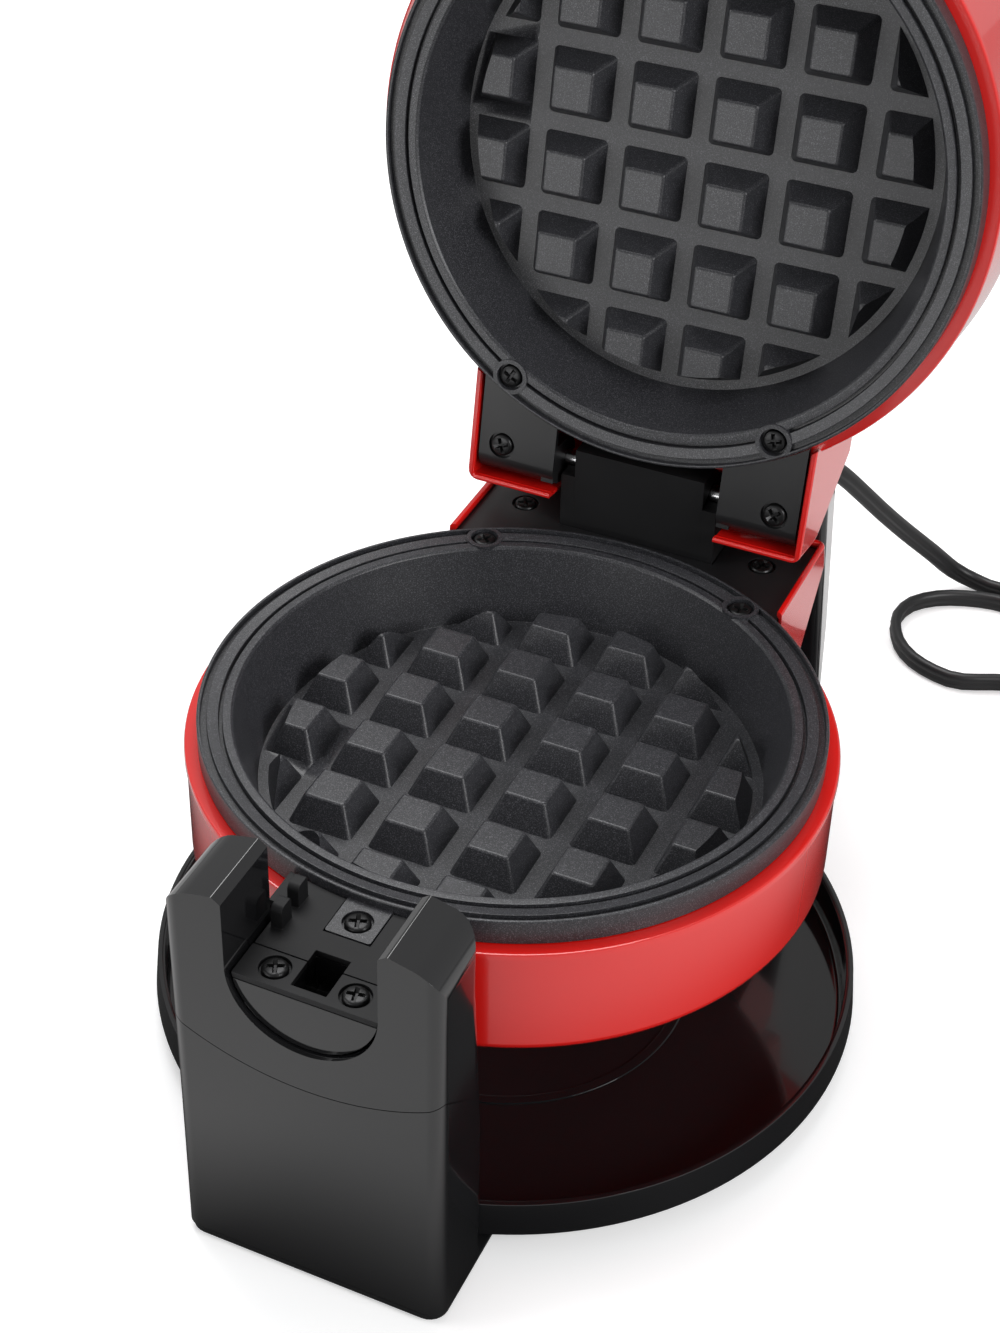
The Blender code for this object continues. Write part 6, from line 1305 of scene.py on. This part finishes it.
# Lid hub and handle: the upper half of the front hub, with the thick rounded handle on its end and the
# latch slider, whose ribbed rubber pad is pushed forward to let the lid go.
LID_HUB_FLAT = 0.0004
HANDLE_START = -0.1413
HANDLE_LEVELS = ((0.0, 0.0170), (0.25, 0.0168), (0.50, 0.0174), (0.75, 0.0195), (0.90, 0.0210), (0.97, 0.0200))
HANDLE_LENGTH = 0.0950
HANDLE_BOTTOM = 0.0029
HANDLE_TOP = 0.0245
HANDLE_CORNER = 0.0070
HANDLE_EDGE = 0.0022
LATCH_HALF_WIDTH = 0.0042
LATCH_FRONT = -0.1362
LATCH_BACK = -0.1312
LATCH_TRAVEL = 0.0050
LATCH_TIP = -0.0085
LATCH_HOOK = 0.0032
LATCH_HOOK_TOP = -0.0053
PAD_HALF_WIDTH = 0.0080
PAD_LENGTH = 0.0120
PAD_THICKNESS = 0.0032
PAD_CORNER = 0.0030
PAD_RIBS = 5
PAD_RIB_PITCH = 0.0019
PAD_RIB_DEPTH = 0.0005
lid_moon = [(HUB_RADIUS * math.cos(math.pi * i / 48), LID_HUB_FLAT + HUB_RADIUS * math.sin(math.pi * i / 48))
            for i in range(49)]
lid_moon = [(x, min(z, HUB_RADIUS)) for x, z in lid_moon]
lid_neck = block("lid_half_moon", lid_moon, HUB_FRONT, NECK_END, "Y")
cut(lid_neck, post("lid_neck_drum", BEAD_RADIUS + DRUM_CLEARANCE, (0, 0), -0.01, 0.05, sides=FINE_SIDES))
cut(lid_neck, brick("lid_tab_room", (-TAB_HALF_WIDTH - 0.0003, TAB_HALF_WIDTH + 0.0003), (TAB_END - 0.0003, -0.09),
                    (-0.01, 0.0057)))
cut(lid_neck, post("lid_tab_hole", SHANK_HOLE_RADIUS, (0, TAB_SCREW_Y), 0, 0.015, sides=24))
cut(lid_neck, brick("rib_room", (-0.03, -0.0174), (RIB_PLACES[0] - 0.0006, NECK_END), (-0.01, 0.0056)))
cut(lid_neck, brick("slider_room", (-LATCH_HALF_WIDTH - 0.0003, LATCH_HALF_WIDTH + 0.0003),
                    (LATCH_FRONT - 0.0003, LATCH_BACK + LATCH_TRAVEL + 0.0003), (-0.01, 0.03)))
soften(lid_neck, 0.0005)
fit(lid_neck, satin_black, "lid_neck", "lid")
half = HANDLE_LEVELS[0][1]
handle = draw("rounded_handle", [(x, HANDLE_START, z) for x, z in rounded(
    [(-half, HANDLE_BOTTOM, HANDLE_CORNER), (half, HANDLE_BOTTOM, HANDLE_CORNER),
     (half, HANDLE_TOP, HANDLE_CORNER), (-half, HANDLE_TOP, HANDLE_CORNER)], 8)])
for (share, half), (next_share, next_half) in zip(HANDLE_LEVELS, HANDLE_LEVELS[1:]):
    pull((0, (share - next_share) * HANDLE_LENGTH, 0))
    bpy.ops.transform.resize(value=(next_half / half, 1, 1), center_override=(0, 0, 0))
pull((0, (next_share - 1) * HANDLE_LENGTH, 0), 0.86, (0, HANDLE_START - HANDLE_LENGTH, (HANDLE_BOTTOM + HANDLE_TOP) / 2))
close(handle)
cut(handle, post("handle_pocket", POCKET_RADIUS, (0, HANDLE_SCREW_Y), 0, HANDLE_BOTTOM + EAR_POCKET_DEPTH))
cut(handle, post("handle_hole", SHANK_HOLE_RADIUS, (0, HANDLE_SCREW_Y), 0, 0.015, sides=24))
soften(handle, 0.0012, 3)
fit(handle, satin_black, "handle", "lid")
rubber = finish("black_rubber", (0.016, 0.016, 0.016, 1), 0.62, 80, 2000, 0.00003, 0.3, 0.1)
pad_under = HUB_RADIUS + 0.0003
pad_top = pad_under + PAD_THICKNESS
pad_middle = (LATCH_FRONT + LATCH_BACK) / 2
slider = brick("ribbed_slider", (-LATCH_HALF_WIDTH, LATCH_HALF_WIDTH), (LATCH_FRONT, LATCH_BACK),
               (LATCH_TIP, pad_under + PAD_THICKNESS / 2))
pad_outline = rounded([(x * PAD_HALF_WIDTH, pad_middle + y * PAD_LENGTH / 2, PAD_CORNER)
                       for x, y in ((-1, -1), (1, -1), (1, 1), (-1, 1))])
cut(slider, block("slider_pad", pad_outline, pad_under, pad_top, "Z"), "UNION")
cut(slider, block("slider_hook", [(LATCH_FRONT + 0.0006, LATCH_HOOK_TOP), (LATCH_FRONT - LATCH_HOOK, LATCH_HOOK_TOP),
                                  (LATCH_FRONT + 0.0006, LATCH_TIP)], -LATCH_HALF_WIDTH, LATCH_HALF_WIDTH, "X"), "UNION")
for i in range(PAD_RIBS):
    rib_y = pad_middle + (i - (PAD_RIBS - 1) / 2) * PAD_RIB_PITCH
    cut(slider, post("grip_groove", PAD_RIB_DEPTH, (rib_y, pad_top), -PAD_HALF_WIDTH * 0.8, PAD_HALF_WIDTH * 0.8, "X", 12))
soften(slider, 0.0002)
slider.data.materials.clear()
slider.data.materials.append(rubber)
settle(slider, "lid")
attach(slider, "latch")
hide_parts("latch_slider")

# Bottom: a black plate with a lug under each upright, held by four flat screws, on four rubber feet with
# a hollow in their tread.
BOTTOM_TOP = -0.1183
BOTTOM_UNDER = -0.1201
BOTTOM_RADIUS = 0.1100
LUG_REACH = 0.0900
LUG_CORNER = 0.0060
FOOT_RADIUS = 0.0090
FOOT_PLACE = 0.0700
FOOT_HOLLOW_RADIUS = 0.0045
FOOT_HOLLOW = 0.0006
bottom = post("bottom_disc", BOTTOM_RADIUS, (0, 0), BOTTOM_UNDER, BOTTOM_TOP, sides=FINE_SIDES)
for corners in (((-0.0435, PILLAR_FRONT), (0.0435, PILLAR_FRONT), (0.0435, -LUG_REACH), (-0.0435, -LUG_REACH)),
                ((-0.0660, LUG_REACH), (0.0660, LUG_REACH), (0.0545, COLUMN_BACK), (-0.0545, COLUMN_BACK))):
    cut(bottom, block("base_lug", rounded([(x, y, LUG_CORNER) for x, y in corners]), BOTTOM_UNDER, BOTTOM_TOP, "Z"),
        "UNION")
for x, y in (FRONT_BASE_SCREW, REAR_BASE_SCREW):
    for side in (-1, 1):
        cut(bottom, post("base_hole", SHANK_HOLE_RADIUS, (side * x, y), -0.13, -0.11, sides=24))
soften(bottom, 0.0003)
fit(bottom, satin_black, "bottom_plate")
table = -MIDDLE.z
foot_top = BOTTOM_UNDER - 0.0003
for word, x, y in (("front_left", -1, -1), ("front_right", 1, -1), ("rear_left", -1, 1), ("rear_right", 1, 1)):
    tread = turn_up(f"tread_{word}", [(FOOT_HOLLOW_RADIUS * 0.5, table + FOOT_HOLLOW), (FOOT_HOLLOW_RADIUS, table),
                                      (FOOT_RADIUS - 0.0003, table), (FOOT_RADIUS, foot_top)], 48)
    soften(tread, 0.00015, 2)
    tread.data.transform(Matrix.Translation((x * FOOT_PLACE, y * FOOT_PLACE, 0)))
    fit(tread, rubber, f"foot_{word}")

# Inner parts: tubular elements darkened by heat, bright reflector pans, thermostat and fuse, and the hollow
# rear hub with its bush and ring. Their solids are right as they are and only take their finishes.
element_steel = finish("heated_tube", (0.17, 0.14, 0.12, 1), 0.38, 140, 1800, 0.00001, 0.5, 0.2, metallic=0.9)
reflector_sheet = finish("reflector_sheet", (0.66, 0.66, 0.65, 1), 0.30, 40, 1500, 0.00001, 0.2, 0.15, metallic=1.0)
for node, material in (("lower_heating_element", element_steel), ("upper_heating_element", element_steel),
                       ("lower_reflector", reflector_sheet), ("upper_reflector", reflector_sheet),
                       ("thermostat", steel), ("thermal_fuse", steel), ("rear_hub", steel),
                       ("hub_retainer", steel), ("rear_bush", rubber)):
    carried = frame["nodes"][node]
    carried.data.materials.clear()
    carried.data.materials.append(material)
